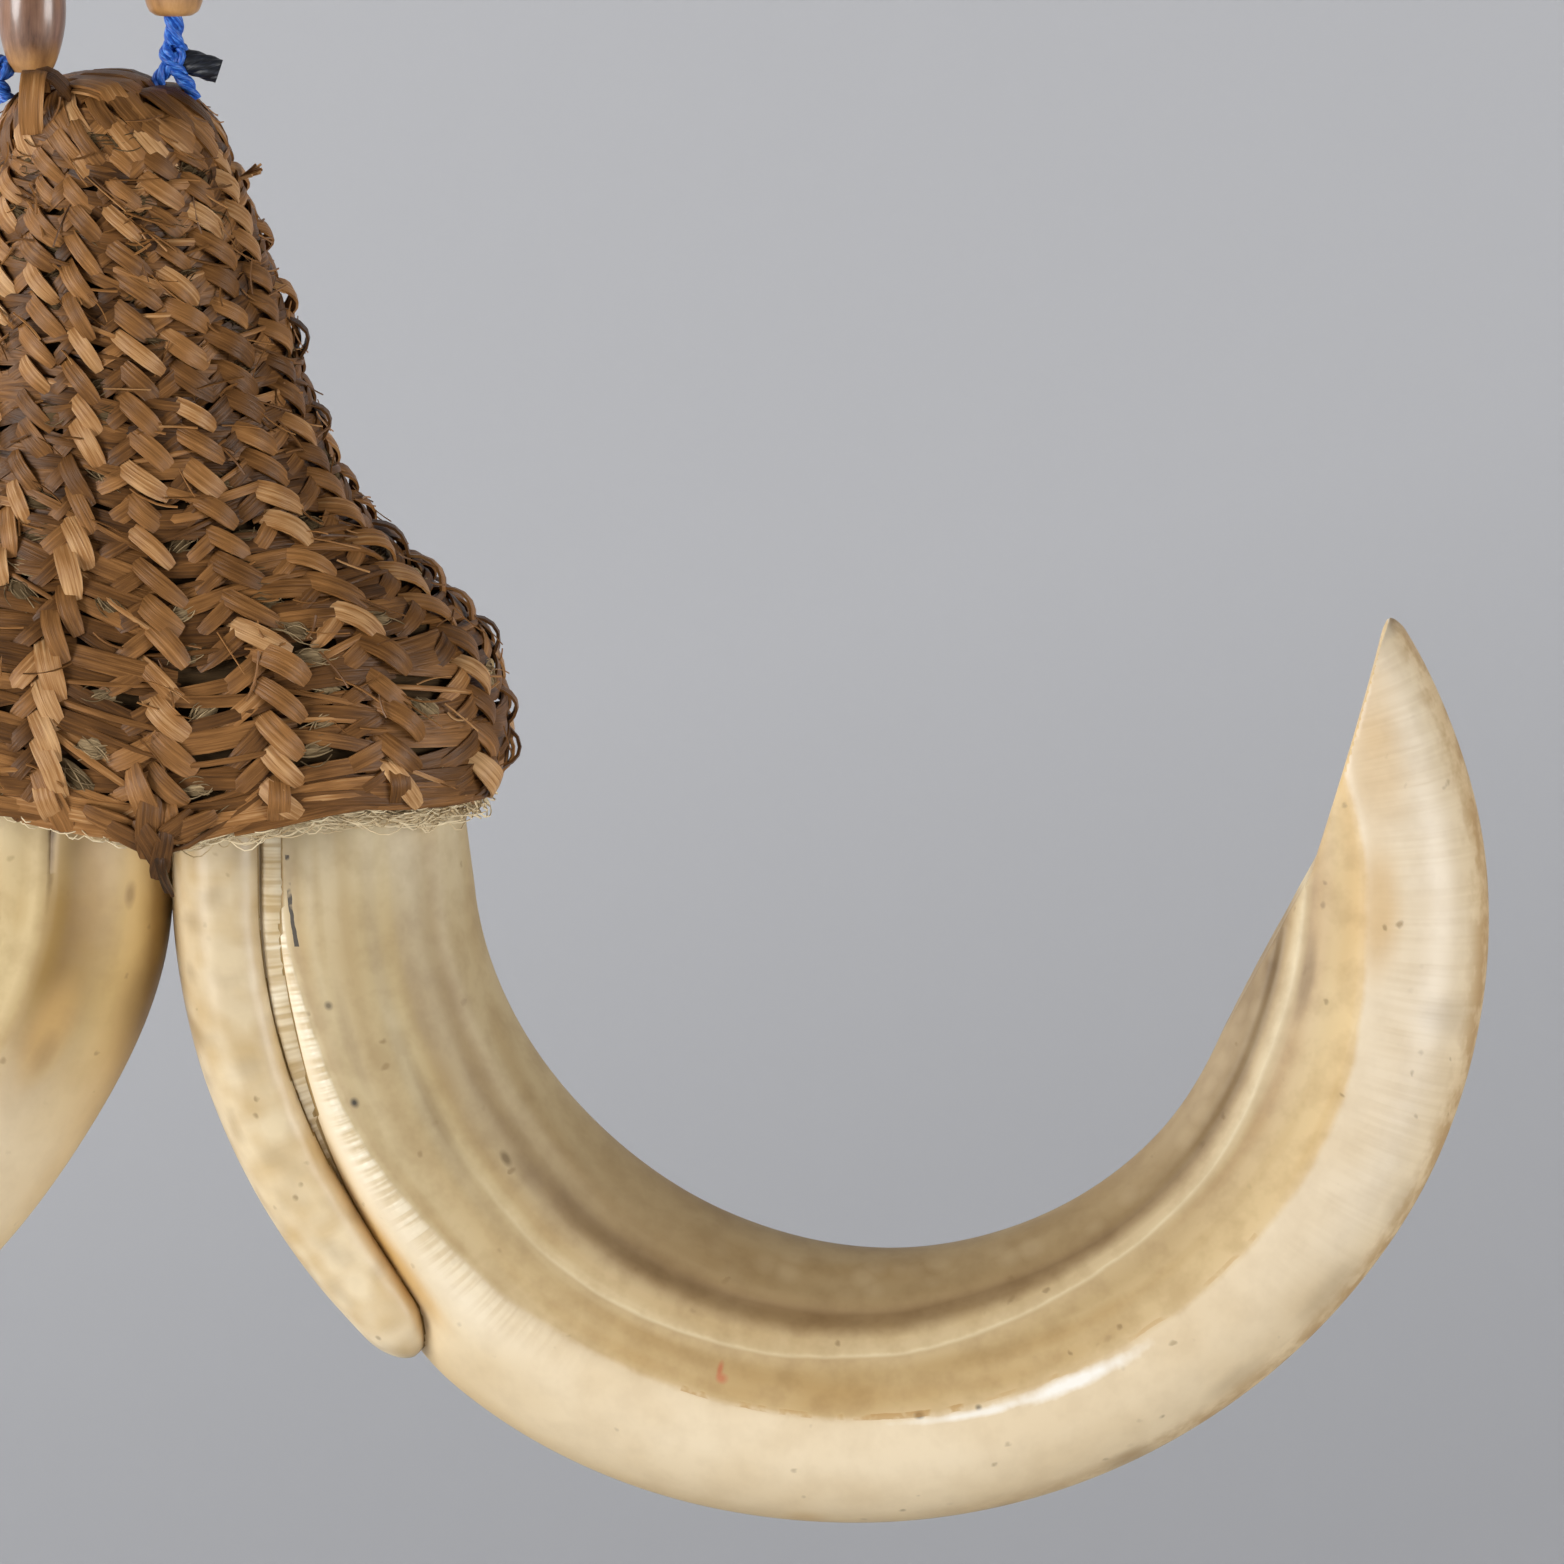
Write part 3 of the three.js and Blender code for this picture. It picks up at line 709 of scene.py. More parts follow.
def fibre_material(name, dark, middle, light):
    """Dry plant fibre: matt, tangled, beige grey with paler strands."""
    material, tree = new_material(name)
    along, across, tone = [
        add(tree, "ShaderNodeAttribute", out="Fac", attribute_name=mark) for mark in STRIP_MARKS]
    shifted = add(tree, "ShaderNodeMath", {0: tone, 1: GRAIN_SHIFT}, operation="MULTIPLY")
    place = add(tree, "ShaderNodeCombineXYZ", {"X": along, "Y": across, "Z": shifted})

    # Strands about 0.3 mm wide and 2 mm long
    stretched = add(tree, "ShaderNodeMapping", {"Vector": place, "Scale": (0.5, 3.2, 1)})
    tangle = add(tree, "ShaderNodeTexNoise", {"Vector": stretched, "Scale": 1.0, "Detail": 3.0})
    level = add(tree, "ShaderNodeMath", {0: tangle, 1: 0.6, 2: tone}, operation="MULTIPLY_ADD")
    colour = add(tree, "ShaderNodeValToRGB", {"Fac": level},
                 stops=[(0.25, dark), (0.6, middle), (1.0, light)])
    bump = add(tree, "ShaderNodeBump", {"Height": tangle, "Strength": 0.6, "Distance": 0.0004})
    surface = add(tree, "ShaderNodeBsdfPrincipled", {
        "Base Color": colour, "Roughness": 0.85, "Specular IOR Level": 0.2, "Normal": bump})
    add(tree, "ShaderNodeOutputMaterial", {"Surface": surface})
    return material


def weave_rows():
    """Shares of the cap's height at which the rows of stitches lie."""
    share = 0.022
    rows = []
    while share < 0.99:
        rows.append(share)
        _, up, _ = cap_directions(share, 0.5)
        share += through(ROW_PITCH, share) / up.length
    return rows


def strip_tone_and_shade(turn, share, base):
    """Strips differ, and those on the right side are painted darker, as shade."""
    side = smooth(math.sin(2 * math.pi * turn), 0.35, 0.95)
    return base + chance.uniform(-0.2, 0.2) - 0.02 * side + 0.05 * (1 - smooth(share, 0.1, 0.45))


def spacing_at(share, turn):
    """Room between columns at a place on the cap, as a share of the room at its base."""
    right, _, _ = cap_directions(share, turn)
    widest, _, _ = cap_directions(CAP_WIDEST, turn)
    return right.length / widest.length


def lay_stitches(layer, rows):
    """Columns of chevrons: a strip leans up to the right under another that falls to the right."""
    for column in range(WEAVE_COLUMNS):
        for share in rows:
            turn = column_turn(column) + chance.uniform(-0.002, 0.002)
            room = spacing_at(share, turn)
            steep = 1 - smooth(share, 0.3, 0.6) if column in STEEP_COLUMNS else 0
            if column == STEEP_COLUMNS[-1]:
                steep = max(steep, 0.7)
            width = STITCH_WIDTH * chance.uniform(0.76, 1.1) * (0.74 + 0.26 * room)
            reach = chance.uniform(0.85, 1.15) * (1 - 0.35 * steep)
            drop = (1.45 + 0.65 * room) * chance.uniform(0.85, 1.15) * (1 + 0.3 * steep)
            raised = chance.uniform(0.75, 1.25) - 0.4 * smooth(share, 0.75, 1)
            if chance.random() < 0.05:
                raised += 0.6
            shift = chance.uniform(-0.4, 0.4)
            height = chance.uniform(-0.3, 0.3)
            bow = chance.uniform(-0.35, 0.35)

            def under(t):
                lift = 0.5 - (2 * t - 0.95) ** 2
                return (shift + reach * (-5.4 + 6.2 * t) * (0.45 + 0.55 * room),
                        height + drop * (-1.05 + 1.9 * t), lift)

            def over(t):
                lift = (raised + 0.45) * (1 - (1.75 * t - 1) ** 2) - 0.45
                sway = bow * math.sin(math.pi * t)
                return shift + sway + reach * (-1.7 + 3.9 * t), height + drop * (1 - 2 * t), lift

            layer.lay(cap_route(STRIP_STEPS, share, turn, under), width * 0.85, STRIP_THICKNESS,
                      strip_tone_and_shade(turn, share, 0.36), taper=0.6)
            layer.lay(cap_route(STRIP_STEPS, share, turn, over), width, STRIP_THICKNESS,
                      strip_tone_and_shade(turn, share, 0.52), taper=0.4)


def lay_wefts(layer, rows):
    """Flat strips that run round the cap and bulge between the columns."""
    for column in range(WEAVE_COLUMNS):
        for share in rows:
            turn = column_turn(column + 0.5)
            half = 0.5 * BASE_SPACING * spacing_at(share, turn) + 1.6
            for part in (0, 1, 2):
                sliver = part == 2
                if chance.random() < (0.35 if sliver else 0.1):
                    continue
                if sliver:
                    height = chance.uniform(-1.4, 1.4)
                else:
                    height = 0.75 - 1.5 * part + chance.uniform(-0.45, 0.45)
                tilt = GAP_TILT.get(column, 0) + chance.gauss(0, 0.2 if sliver else 0.13)
                bulge = chance.uniform(0.8, 1.25) if sliver else chance.uniform(0.35, 1.0)
                middle = chance.uniform(-0.25, 0.25)
                width = chance.uniform(0.4, 0.9) if sliver else WEFT_WIDTH * chance.uniform(0.55, 1.15)

                def along_row(t):
                    x = half * (2 * t - 1)
                    return x, height + tilt * x, bulge * (1 - (2 * t - 1 - middle) ** 2) - 0.45

                layer.lay(cap_route(STRIP_STEPS, share, turn, along_row), width, STRIP_THICKNESS,
                          strip_tone_and_shade(turn, share, 0.42 if sliver else 0.27), taper=0.5)


def lay_rim(layer):
    """Uneven strips, three deep, finish the rim. The columns' last stitches wrap over them."""
    for level, lift in ((1.2, 0.3), (0.1, 0.5), (-0.8, 0.1)):
        for column in range(WEAVE_COLUMNS):
            turn = column_turn(column + chance.uniform(0.2, 0.6))
            half = 0.7 * BASE_SPACING
            tilt = chance.gauss(0, 0.045)
            rise = chance.uniform(-0.3, 0.3)

            def edge(t):
                x = half * (2 * t - 1)
                return x, level + rise + tilt * x, lift + 0.4 * math.sin(math.pi * t) - 0.25

            layer.lay(cap_route(STRIP_STEPS, 0.006, turn, edge), WEFT_WIDTH * chance.uniform(0.6, 0.95),
                      STRIP_THICKNESS, strip_tone_and_shade(turn, 0, 0.4), taper=0.35)
    for column in range(WEAVE_COLUMNS):
        turn = column_turn(column + chance.uniform(-0.04, 0.04))
        lean = chance.uniform(-0.6, 1.4)
        start = chance.uniform(2.8, 4)
        bulge = chance.uniform(1.1, 1.5)

        def wrap(t):
            return lean * (t - 0.3), start - (start + 2.1) * t, bulge - 2.2 * (2 * t - 0.85) ** 2

        layer.lay(cap_route(STRIP_STEPS, 0.006, turn, wrap), STITCH_WIDTH * chance.uniform(0.75, 1),
                  STRIP_THICKNESS, strip_tone_and_shade(turn, 0, 0.46), taper=0.2)


def lay_loops(layer):
    """Loops of strip that stand off the cap's right side."""
    for share, half, lift in LOOSE_LOOPS:
        lean = chance.uniform(-0.4, 0.9)
        turn = 0.25 + chance.uniform(-0.006, 0.012)

        def loop(t):
            return lean * (1 - 2 * t), half * (1 - 2 * t), (lift + 0.5) * (1 - (2 * t - 1) ** 2) - 0.5

        layer.lay(cap_route(STRIP_STEPS, share, turn, loop), STITCH_WIDTH * 0.8, STRIP_THICKNESS,
                  strip_tone_and_shade(turn, share, 0.36), taper=0.3)


def crown_height(x, y):
    """Height of the crown's dome, falling steeply past its edge."""
    far = math.hypot((x - through(CAP_CENTRE, 1)) / CROWN_HALF[0], y / CROWN_HALF[1])
    return CAP_TOP - 0.8 + (CROWN_RISE + 0.8) * math.sqrt(max(1 - far ** 2, 0)) - 16 * max(far - 0.96, 0)


def lay_crown(layer):
    """Strips across the crown in two layers that cross, and the two strips at the left bead."""
    for k in range(2 * CROWN_STRIPS):
        upper = k // CROWN_STRIPS
        y = 5.8 - 11.4 * (k % CROWN_STRIPS) / (CROWN_STRIPS - 1) + chance.uniform(-0.5, 0.5)
        reach = CROWN_HALF[0] * math.sqrt(max(1 - (y / 7) ** 2, 0.15)) * chance.uniform(0.45, 0.75)
        slide = chance.uniform(-2, 2)
        heading = chance.gauss(0.5 - upper, 0.25)
        raised = chance.uniform(0.1, 0.5) + 0.35 * upper
        route = []
        for i in range(STRIP_STEPS + 1):
            t = 2 * i / STRIP_STEPS - 1
            x = slide + reach * t
            here = y + math.sin(heading) * reach * t
            lift = raised - 1.6 * t ** 4
            slope = Vector((crown_height(x - 0.1, here) - crown_height(x + 0.1, here),
                            crown_height(x, here - 0.1) - crown_height(x, here + 0.1), 0.2)).normalized()
            route.append((Vector((x, here, crown_height(x, here))) + slope * lift, slope))
        layer.lay(route, STITCH_WIDTH * chance.uniform(0.9, 1.3), STRIP_THICKNESS,
                  chance.uniform(0.3, 0.56), taper=0.35)
    middle = Vector(FOLD_MIDDLE)
    layer.lay([(Vector(point), Vector(point) - middle) for point in FOLDED_STRIP], 2.4, STRIP_THICKNESS,
              0.16, taper=0.2)
    route = []
    for k, point in enumerate(STANDING_STRIP):
        lean = math.pi / 2 * smooth(k, 2, 6)
        route.append((Vector(point), Vector((0, -math.cos(lean), math.sin(lean)))))
    layer.lay(route, 2.3, STRIP_THICKNESS, 0.52, taper=0.1)


def lay_folds(layer):
    """Strips that come up the columns, lean over the crown's edge and tuck in on top."""
    for start, count, tucked in FOLD_TIERS:
        for k in range(count):
            turn = (k + 0.5 * tucked) / count + chance.uniform(-0.012, 0.012)
            slant = chance.uniform(0.06, 0.12)
            raised = chance.uniform(0.5, 1.1)
            route = []
            for i in range(STRIP_STEPS + 1):
                t = i / STRIP_STEPS
                share = min(start + 0.1 * t, 0.99)
                spot = turn + slant * (t - 0.5)
                _, _, out = cap_directions(share, spot)
                arch = math.sin(math.pi * min(t + 0.2 * tucked, 1))
                point = cap_point(share, spot, 0) + out * (raised * arch - 0.1)
                inward = tucked * smooth(t, 0.42, 1)
                point = point.lerp(Vector((through(CAP_CENTRE, 1), 0, CAP_TOP + 0.6)), 0.45 * inward)
                point.z += 0.5 * math.sin(math.pi * inward)
                route.append((point, out.lerp(Vector((0, 0, 1)), inward)))
            layer.lay(route, STITCH_WIDTH * chance.uniform(0.64, 0.9), STRIP_THICKNESS,
                      strip_tone_and_shade(turn, 1, 0.46) + chance.uniform(-0.1, 0.1), taper=0.4)


def lay_frays(layer):
    """Fine fibres split off the strips, loose on the weave, and a tuft that stands out near the top."""
    for _ in range(TUFT_FIBRES):
        reach = chance.uniform(1.6, 2.8)
        lean = chance.uniform(-1.2, 1.2)

        def tuft(t):
            return 0.8 * lean * t, -0.3 + 0.5 * t + 0.6 * lean * t * t, -0.4 + 1.15 * reach * t

        layer.lay(cap_route(FIBRE_STEPS, *TUFT_PLACE, tuft), 0.38, 0.28, chance.uniform(0.6, 0.85))
    for _ in range(FRAYS):
        share = chance.uniform(0.01, 0.97)
        turn = chance.random()
        lean = chance.gauss(-0.45, 0.6)
        length = chance.uniform(1.6, 4.6)
        lift = chance.uniform(0.45, 1.05)
        bow = chance.gauss(0, 0.18)

        def fray(t):
            s = t - 0.5
            arc = bow * (1 - 4 * s * s)
            return (length * s * math.cos(lean) - arc * math.sin(lean),
                    length * s * math.sin(lean) + arc * math.cos(lean), lift + 0.6 * t * t)

        layer.lay(cap_route(FIBRE_STEPS, share, turn, fray), chance.uniform(0.12, 0.3), 0.14,
                  strip_tone_and_shade(turn, share, 0.45))


# Strips of the tongue: start and end to the right, start and end height, width and tone
TONGUE_STRIPS = [(-6.4, -0.8, -0.6, -3.4, 2.1, 0.42), (-4.8, 0.2, -1.8, -4.8, 2.0, 0.3),
                 (6, 1.4, -1.0, -3.6, 1.9, 0.36), (4, -0.1, -0.8, -4.8, 1.8, 0.26),
                 (-1.6, 0.3, 3.4, -3.0, 2.4, 0.5), (0.4, -0.6, 0.8, -5.4, 2.6, 0.38),
                 (-1.3, 0.9, -1.5, -6.8, 2.2, 0.26), (1.2, 0.5, -2.4, -7.4, 1.8, 0.14),
                 (0.2, 1.6, -4.6, -8.8, 0.9, 0.02), (0.7, 2.0, -5.4, -9.2, 0.6, 0.0),
                 (1.2, 1.3, -5.0, -8.2, 0.7, 0.05)]
TONGUE_PLACE = (4.7, -18.9, -93.8)


def lay_tongue(layer):
    """Strip ends drawn together into a small point that hangs between the tusks."""
    middle = Vector(TONGUE_PLACE)
    for number, (start, end, high, low, width, tone) in enumerate(TONGUE_STRIPS):
        route = []
        for i in range(STRIP_STEPS + 1):
            t = i / STRIP_STEPS
            x = start + (end - start) * smooth(t, -0.2, 1.1) + 0.25 * math.sin(3 * t + number)
            z = high + (low - high) * t
            y = -0.9 * math.sin(math.pi * min(0.15 + t, 1)) - 0.08 * number + 0.05 * z * z
            route.append((middle + Vector((x, y, z)), Vector((0.3 * (x - end), -1, -0.25 * t))))
        layer.lay(route, width, STRIP_THICKNESS, tone + chance.uniform(-0.04, 0.04), taper=0.45)


def make_cap(rattan, fibre_and_shade_backing):
    """The weave, laid strip by strip, over a thin dark sheet of fibre that closes the gaps, painted dark as
    the shade in them.
    """
    rows = weave_rows()
    layer = Layer(strip_blank(), STRIP_STEPS)
    lay_wefts(layer, rows)
    lay_stitches(layer, rows)
    lay_rim(layer)
    lay_loops(layer)
    lay_crown(layer)
    lay_folds(layer)
    lay_tongue(layer)
    lay_frays(Layer(thread_blank(FIBRE_STEPS), FIBRE_STEPS, layer.shape))
    shell_from = len(layer.shape.faces)
    shares = [BACKING_TOP - BACKING_HEIGHT * k / BACKING_ROWS for k in range(BACKING_ROWS + 1)]
    wall = [(share, BACKING_LIFT) for share in shares]
    wall += [(share, BACKING_LIFT - BACKING_THICKNESS) for share in reversed(shares)]

    def place(step, side):
        if step in (0, len(wall) + 1):
            share, lift = wall[0 if step == 0 else -1]
            return (through(CAP_CENTRE, share), 0, cap_point(share, 0, lift).z - (step > 0)), {}
        share, lift = wall[step - 1]
        turn = side / BACKING_SIDES
        lump = 0.25 * noise.noise(cap_point(share, turn, lift) * 0.6)
        marks = {"tone": 0.2, "along": 1.4 * side, "across": 60 * share}
        inner = step > len(shares)
        return cap_point(share, turn, lift + lump) - Vector((0, 0, inner)), marks

    bend_sheet(layer.shape, len(wall) + 1, BACKING_SIDES, place)
    layer.shape.faces.ensure_lookup_table()
    for face in layer.shape.faces[shell_from:]:
        face.material_index = 1
    return finished("cap_weave", layer.shape, rattan, fibre_and_shade_backing, sharp=55)


def lay_wads(pads, threads, rows):
    """Wads of matted fibre that show in the gaps between the columns, darker towards the top."""
    for column in range(WEAVE_COLUMNS):
        for share in rows:
            if chance.random() > 0.5:
                continue
            turn = column_turn(column)
            room = spacing_at(share, turn)
            side = chance.uniform(2.6, 5.6) * room
            height = chance.uniform(-1, 1)
            heading = math.atan(GAP_TILT.get(column, 0)) + chance.gauss(0, 0.3)
            half = chance.uniform(1.2, 2.3) * (0.5 + 0.5 * room)
            bulge = chance.uniform(0.3, 0.75)
            tone = chance.uniform(-0.1, 0.12) - 0.2 * smooth(share, 0.2, 0.6)

            def wad(t):
                x = half * (2 * t - 1)
                return (side + x * math.cos(heading), height + x * math.sin(heading),
                        bulge * (1 - (2 * t - 1) ** 2) - 0.25)

            pads.lay(cap_route(STRIP_STEPS, share, turn, wad), chance.uniform(1.1, 2.1), 0.5, tone, taper=0.7)
            for _ in range(WAD_STRANDS):
                lean = heading + chance.gauss(0, 0.22)
                length = chance.uniform(1.4, 3.4)
                dx = side + chance.gauss(0, 0.5)
                dz = height + chance.gauss(0, 0.4)
                curl = chance.gauss(0, 0.9)
                lift = bulge * chance.uniform(0.5, 0.9) - 0.1

                def strand(t):
                    s = t - 0.5
                    arc = curl * (0.25 - s * s) * 2
                    return (dx + length * s * math.cos(lean) - arc * math.sin(lean),
                            dz + length * s * math.sin(lean) + arc * math.cos(lean),
                            lift + 0.3 * math.sin(math.pi * t))

                threads.lay(cap_route(FIBRE_STEPS, share, turn, strand), 0.12, 0.12,
                            tone + chance.uniform(-0.05, 0.22))


def lining_drop(turn):
    """How far the packing hangs under the rim. It hangs most at the front right."""
    return 0.8 + 1.9 * swell(turn, 0.335, 0.12)


def lay_rim_fibres(layer):
    """A fringe of loose fibre under the rim."""
    for _ in range(RIM_FIBRES):
        turn = chance.random()
        depth = chance.uniform(-4.2, -0.7)
        start = cap_point(0.0, turn, depth)
        start.z -= lining_drop(turn) * chance.uniform(0.2, 1.15)
        right, _, out = cap_directions(0.02, turn)
        right = right.normalized()
        length = chance.uniform(1.5, 4.5)
        sag = chance.gauss(0.2, 0.5)
        drift = chance.gauss(0, 0.7)
        way = chance.choice((-1, 1))
        route = []
        for i in range(FIBRE_STEPS + 1):
            t = i / FIBRE_STEPS
            point = start + right * (way * length * t) + out * (drift * math.sin(2.4 * t))
            route.append((point - Vector((0, 0, sag * math.sin(math.pi * t))), Vector((0, 0, -1))))
        layer.lay(route, 0.15, 0.15, chance.uniform(0.35, 0.85))


def make_lining(fibre):
    """The packing round the tusk roots, with loose strands at the rim and through the weave."""
    layer = Layer(thread_blank(FIBRE_STEPS), FIBRE_STEPS)
    lay_wads(Layer(strip_blank(), STRIP_STEPS, layer.shape), layer, weave_rows())
    lay_rim_fibres(layer)

    def place(step, side):
        share, spread, drop = LINING_LEVELS[step]
        turn = side / LINING_SIDES
        edge = cap_point(share, turn, -1.7)
        middle = Vector((through(CAP_CENTRE, share), 0, edge.z))
        point = middle + spread * (edge - middle)
        lump = 0.6 * noise.noise(point * 0.7) + 0.45 * noise.noise(point * 1.7)
        hang = drop * (lining_drop(turn) + lump)
        marks = {"tone": 0.5, "along": 1.2 * side, "across": 1.5 * step + hang}
        return point - Vector((0, 0, hang if spread else drop)), marks

    bend_sheet(layer.shape, len(LINING_LEVELS) - 1, LINING_SIDES, place)
    return finished("lining_fibres", layer.shape, fibre, sharp=80)


# Tusks


def wear_radius(angle):
    """Radius at which the worn facets cut a ray from the tusk's centre."""
    if angle < WEAR_START:
        return 0
    turn = math.radians(angle)
    ray = Vector((-math.cos(turn), -math.sin(turn)))

    def cut(start, end):
        normal = Vector((end[1] - start[1], start[0] - end[0]))
        return Vector(start).dot(normal) / ray.dot(normal)

    return min(cut(WEAR_LOW, WEAR_CORNER), cut(WEAR_CORNER, WEAR_TIP))


def tusk_place(tusk, angle, radius, depth):
    """Point at an angle, radius and depth of a tusk. The root runs straight up."""
    turn = math.radians(max(angle, 0))
    rise = max(-angle, 0) * ROOT_RISE
    back = TIP_BACK * smooth(angle, 90, TUSK_TIP + 40) - depth
    x = tusk["centre"][0] - tusk["side"] * tusk["scale"] * radius * math.cos(turn)
    z = tusk["centre"][1] + tusk["scale"] * (rise - radius * math.sin(turn))
    return Vector((x, tusk["scale"] * back, z))


def tusk_ring(tusk, angle):
    """Sizes and lines of a tusk at an angle."""
    rise = max(-angle, 0) * ROOT_RISE
    inner = through(TUSK_INNER, angle) + ROOT_TAPER * rise
    outer = through(tusk["outer"], angle)
    ring = {"angle": angle, "middle": (inner + outer) / 2, "half": (outer - inner) / 2,
            "depth": through(TUSK_HALF_DEPTH, angle), "enamel": through(tusk["enamel"], angle),
            "fine": through(FINE_RIDGE, angle), "groove": through(GROOVE, angle), "ridge": tusk["ridge"],
            "lobed": tusk["side"] == 1}
    ring["worn"] = min(max((wear_radius(angle) - ring["middle"]) / ring["half"], -1), 1)
    ring["worn_behind"] = ring["worn"] + WEAR_TILT * (1 - ring["worn"] ** 2)
    length = math.radians(angle) * ring["middle"] * 1.1 if angle > 0 else angle * ROOT_RISE
    ring["ripple"] = math.sin(2 * math.pi * length / 0.95 + 2 * noise.noise(Vector((length * 0.5, 0, 0))))
    past = max(angle - (TUSK_TIP - TIP_ROUNDING), 0) / TIP_ROUNDING
    ring["closing"] = math.sqrt(max(1 - past ** 2, 0))
    return ring


@lru_cache(maxsize=None)
def tusk_half(side, angle):
    """Half the width of the right (1) or left (-1) tusk at an angle."""
    return tusk_ring(RIGHT_TUSK if side == 1 else LEFT_TUSK, angle)["half"]


def relief(ring, across):
    """Ridges, grooves and flutes of a tusk's side, in mm."""
    angle = ring["angle"]
    root = 1 - smooth(angle, 35, 80)
    formed = smooth(angle, 55, 80)
    edge = ring["enamel"]

    # The striped ridge on the enamel's edge, its ripples, the hollow beside it and the seam between
    total = ring["ridge"] * (0.07 + 0.45 * root) * swell(across, edge + 0.085, 0.085)
    total += 0.05 * root * ring["ridge"] * ring["ripple"] * swell(across, edge + 0.1, 0.075)
    total -= (0.14 + 0.16 * root) * swell(across, edge - 0.14, 0.13)
    seam = 0.12 if ring["lobed"] else 0.46 * (1 - 0.85 * smooth(angle, -4, 12))
    total -= seam * root * swell(across, edge - 0.012, 0.03)

    # The fine ridge with its hollow, the deep groove inside the curl, and flutes near the root
    total += formed * 0.14 * swell(across, ring["fine"], 0.03)
    total -= formed * 0.26 * swell(across, ring["fine"] + 0.1, 0.08)
    total -= 0.75 * smooth(angle, 33, 75) * swell(across, ring["groove"], 0.07)
    flute = math.sin(across * 15 + 0.8) + 0.6 * math.sin(across * 26 + 2.1)
    total += 0.1 * root * flute * (1 - smooth(across, edge - 0.15, edge))

    # The hollow that the free end of the lobe lies in
    if ring["lobed"]:
        free = smooth(angle, 18, 34) * (1 - smooth(angle, 45, 49))
        lobe_side = through(LOBE["radius"], angle) - through(LOBE["half_width"], angle)
        total -= 1.2 * free * swell(ring["middle"] + ring["half"] * across, lobe_side + 0.2, 1.3)
    return total


def side_depth(ring, across, front):
    """Depth of a tusk's front or back at a place across it, in mm."""
    if front:
        fall = (across - CREST) / (1 - CREST) if across > CREST else (CREST - across) / (1 + CREST)
        rounding = max(0, 1 - fall ** 2) ** 0.58
        return ring["depth"] * rounding + min(1, 3 * rounding) * relief(ring, across)
    rounding = max(0, 1 - abs(across) ** 2.3) ** 0.55
    return 0.9 * ring["depth"] * rounding + 0.5 * min(1, 3 * rounding) * relief(ring, across)


def band(ring, across):
    """Place across the tusk from 0 to 1, with its lines always at the same values."""
    stops = [(-1, 0), (ring["groove"], 0.25), (ring["fine"], 0.4), (ring["enamel"], 0.65), (1, 1)]
    for (low, start), (high, end) in zip(stops, stops[1:]):
        if across <= high:
            return start + (end - start) * (across - low) / (high - low)
    return 1


# The gold mark holds stains and painted light; the brown mark holds stains and painted shade
TUSK_MARKS = ("along", "across", "turn", "band", "behind", "gold", "brown", "tint")


def soft_stains(tusk, marks):
    """Strength of brown and of golden stain at a place on a tusk. On the left tusk's root the golden marks
    are painted shade.
    """
    total = {"brown": 0, "gold": 0}
    for angle, side, length, width, strength, kind in tusk["stains"]:
        along = (marks["along"] - math.radians(angle) * CURL_RADIUS) / length
        across = (marks["across"] - side * tusk_half(tusk["side"], angle)) / width
        apart = math.sqrt(along ** 2 + across ** 2 + marks["behind"] ** 2)
        total[kind] += strength * (1 - smooth(apart, 0.2, 1))
    return total["brown"], total["gold"]


def bend_tusk(shape, tusk):
    """The body of a tusk, from its root in the cap to its worn tip."""
    rings = tusk["steps"] - 2

    @lru_cache(maxsize=4)
    def ring_at(step):
        share = min(max(step - 1, 0), rings) / rings
        return tusk_ring(tusk, through([[0, tusk["root"]], [0.55, 60], [0.97, 202], [1, TUSK_TIP]], share))

    def place(step, side):
        ring = ring_at(step)
        angle = ring["angle"]
        around = 2 * math.pi * side / tusk["sides"]
        across = math.cos(around)
        front = math.sin(around) > 0
        way = 1 if front else -1
        tip = ring["middle"] + ring["half"] * (1 + ring["worn"]) / 2
        if step in (0, tusk["steps"]):
            point = tusk_place(tusk, angle, tip if step else ring["middle"], 0)
        else:
            worn, other = ring["worn"], ring["worn_behind"]
            if not front:
                worn, other = other, worn
            depth = side_depth(ring, max(across, worn), front)
            place_across = max(across, worn)
            if across < worn:
                flat = 0.5 * (worn - across) / (worn + 1)
                depth -= flat * (depth + side_depth(ring, other, not front))
                place_across += flat * (other - worn)
            radius = ring["middle"] + ring["half"] * place_across
            radius = tip + (radius - tip) * ring["closing"]
            point = tusk_place(tusk, angle, radius, way * depth * ring["closing"])
        point.y += 0.06 * noise.noise(point * 0.12) + 0.03 * noise.noise(point * 0.5)
        zone = band(ring, max(across, ring["worn"]))
        if across < ring["worn"]:
            zone = min(zone, WORN_ZONE)
        marks = {"along": math.radians(angle) * CURL_RADIUS, "across": across * ring["half"], "band": zone,
                 "behind": -40 * min(math.sin(around), 0), "turn": angle / 100}
        marks["brown"], marks["gold"] = soft_stains(tusk, marks)
        dentine = 1 - smooth(zone, 0.62, 0.67)
        drawn = noise.noise(Vector((marks["along"] * 0.02, marks["across"] * 0.55, marks["behind"])))
        cloud = noise.noise(point * 0.1) + 0.6 * noise.noise(point * 0.27)
        marks["tint"] = 0.74 + (0.11 + 0.05 * dentine) * cloud + 0.4 * dentine * drawn
        return point, marks

    bend_sheet(shape, tusk["steps"], tusk["sides"], place)


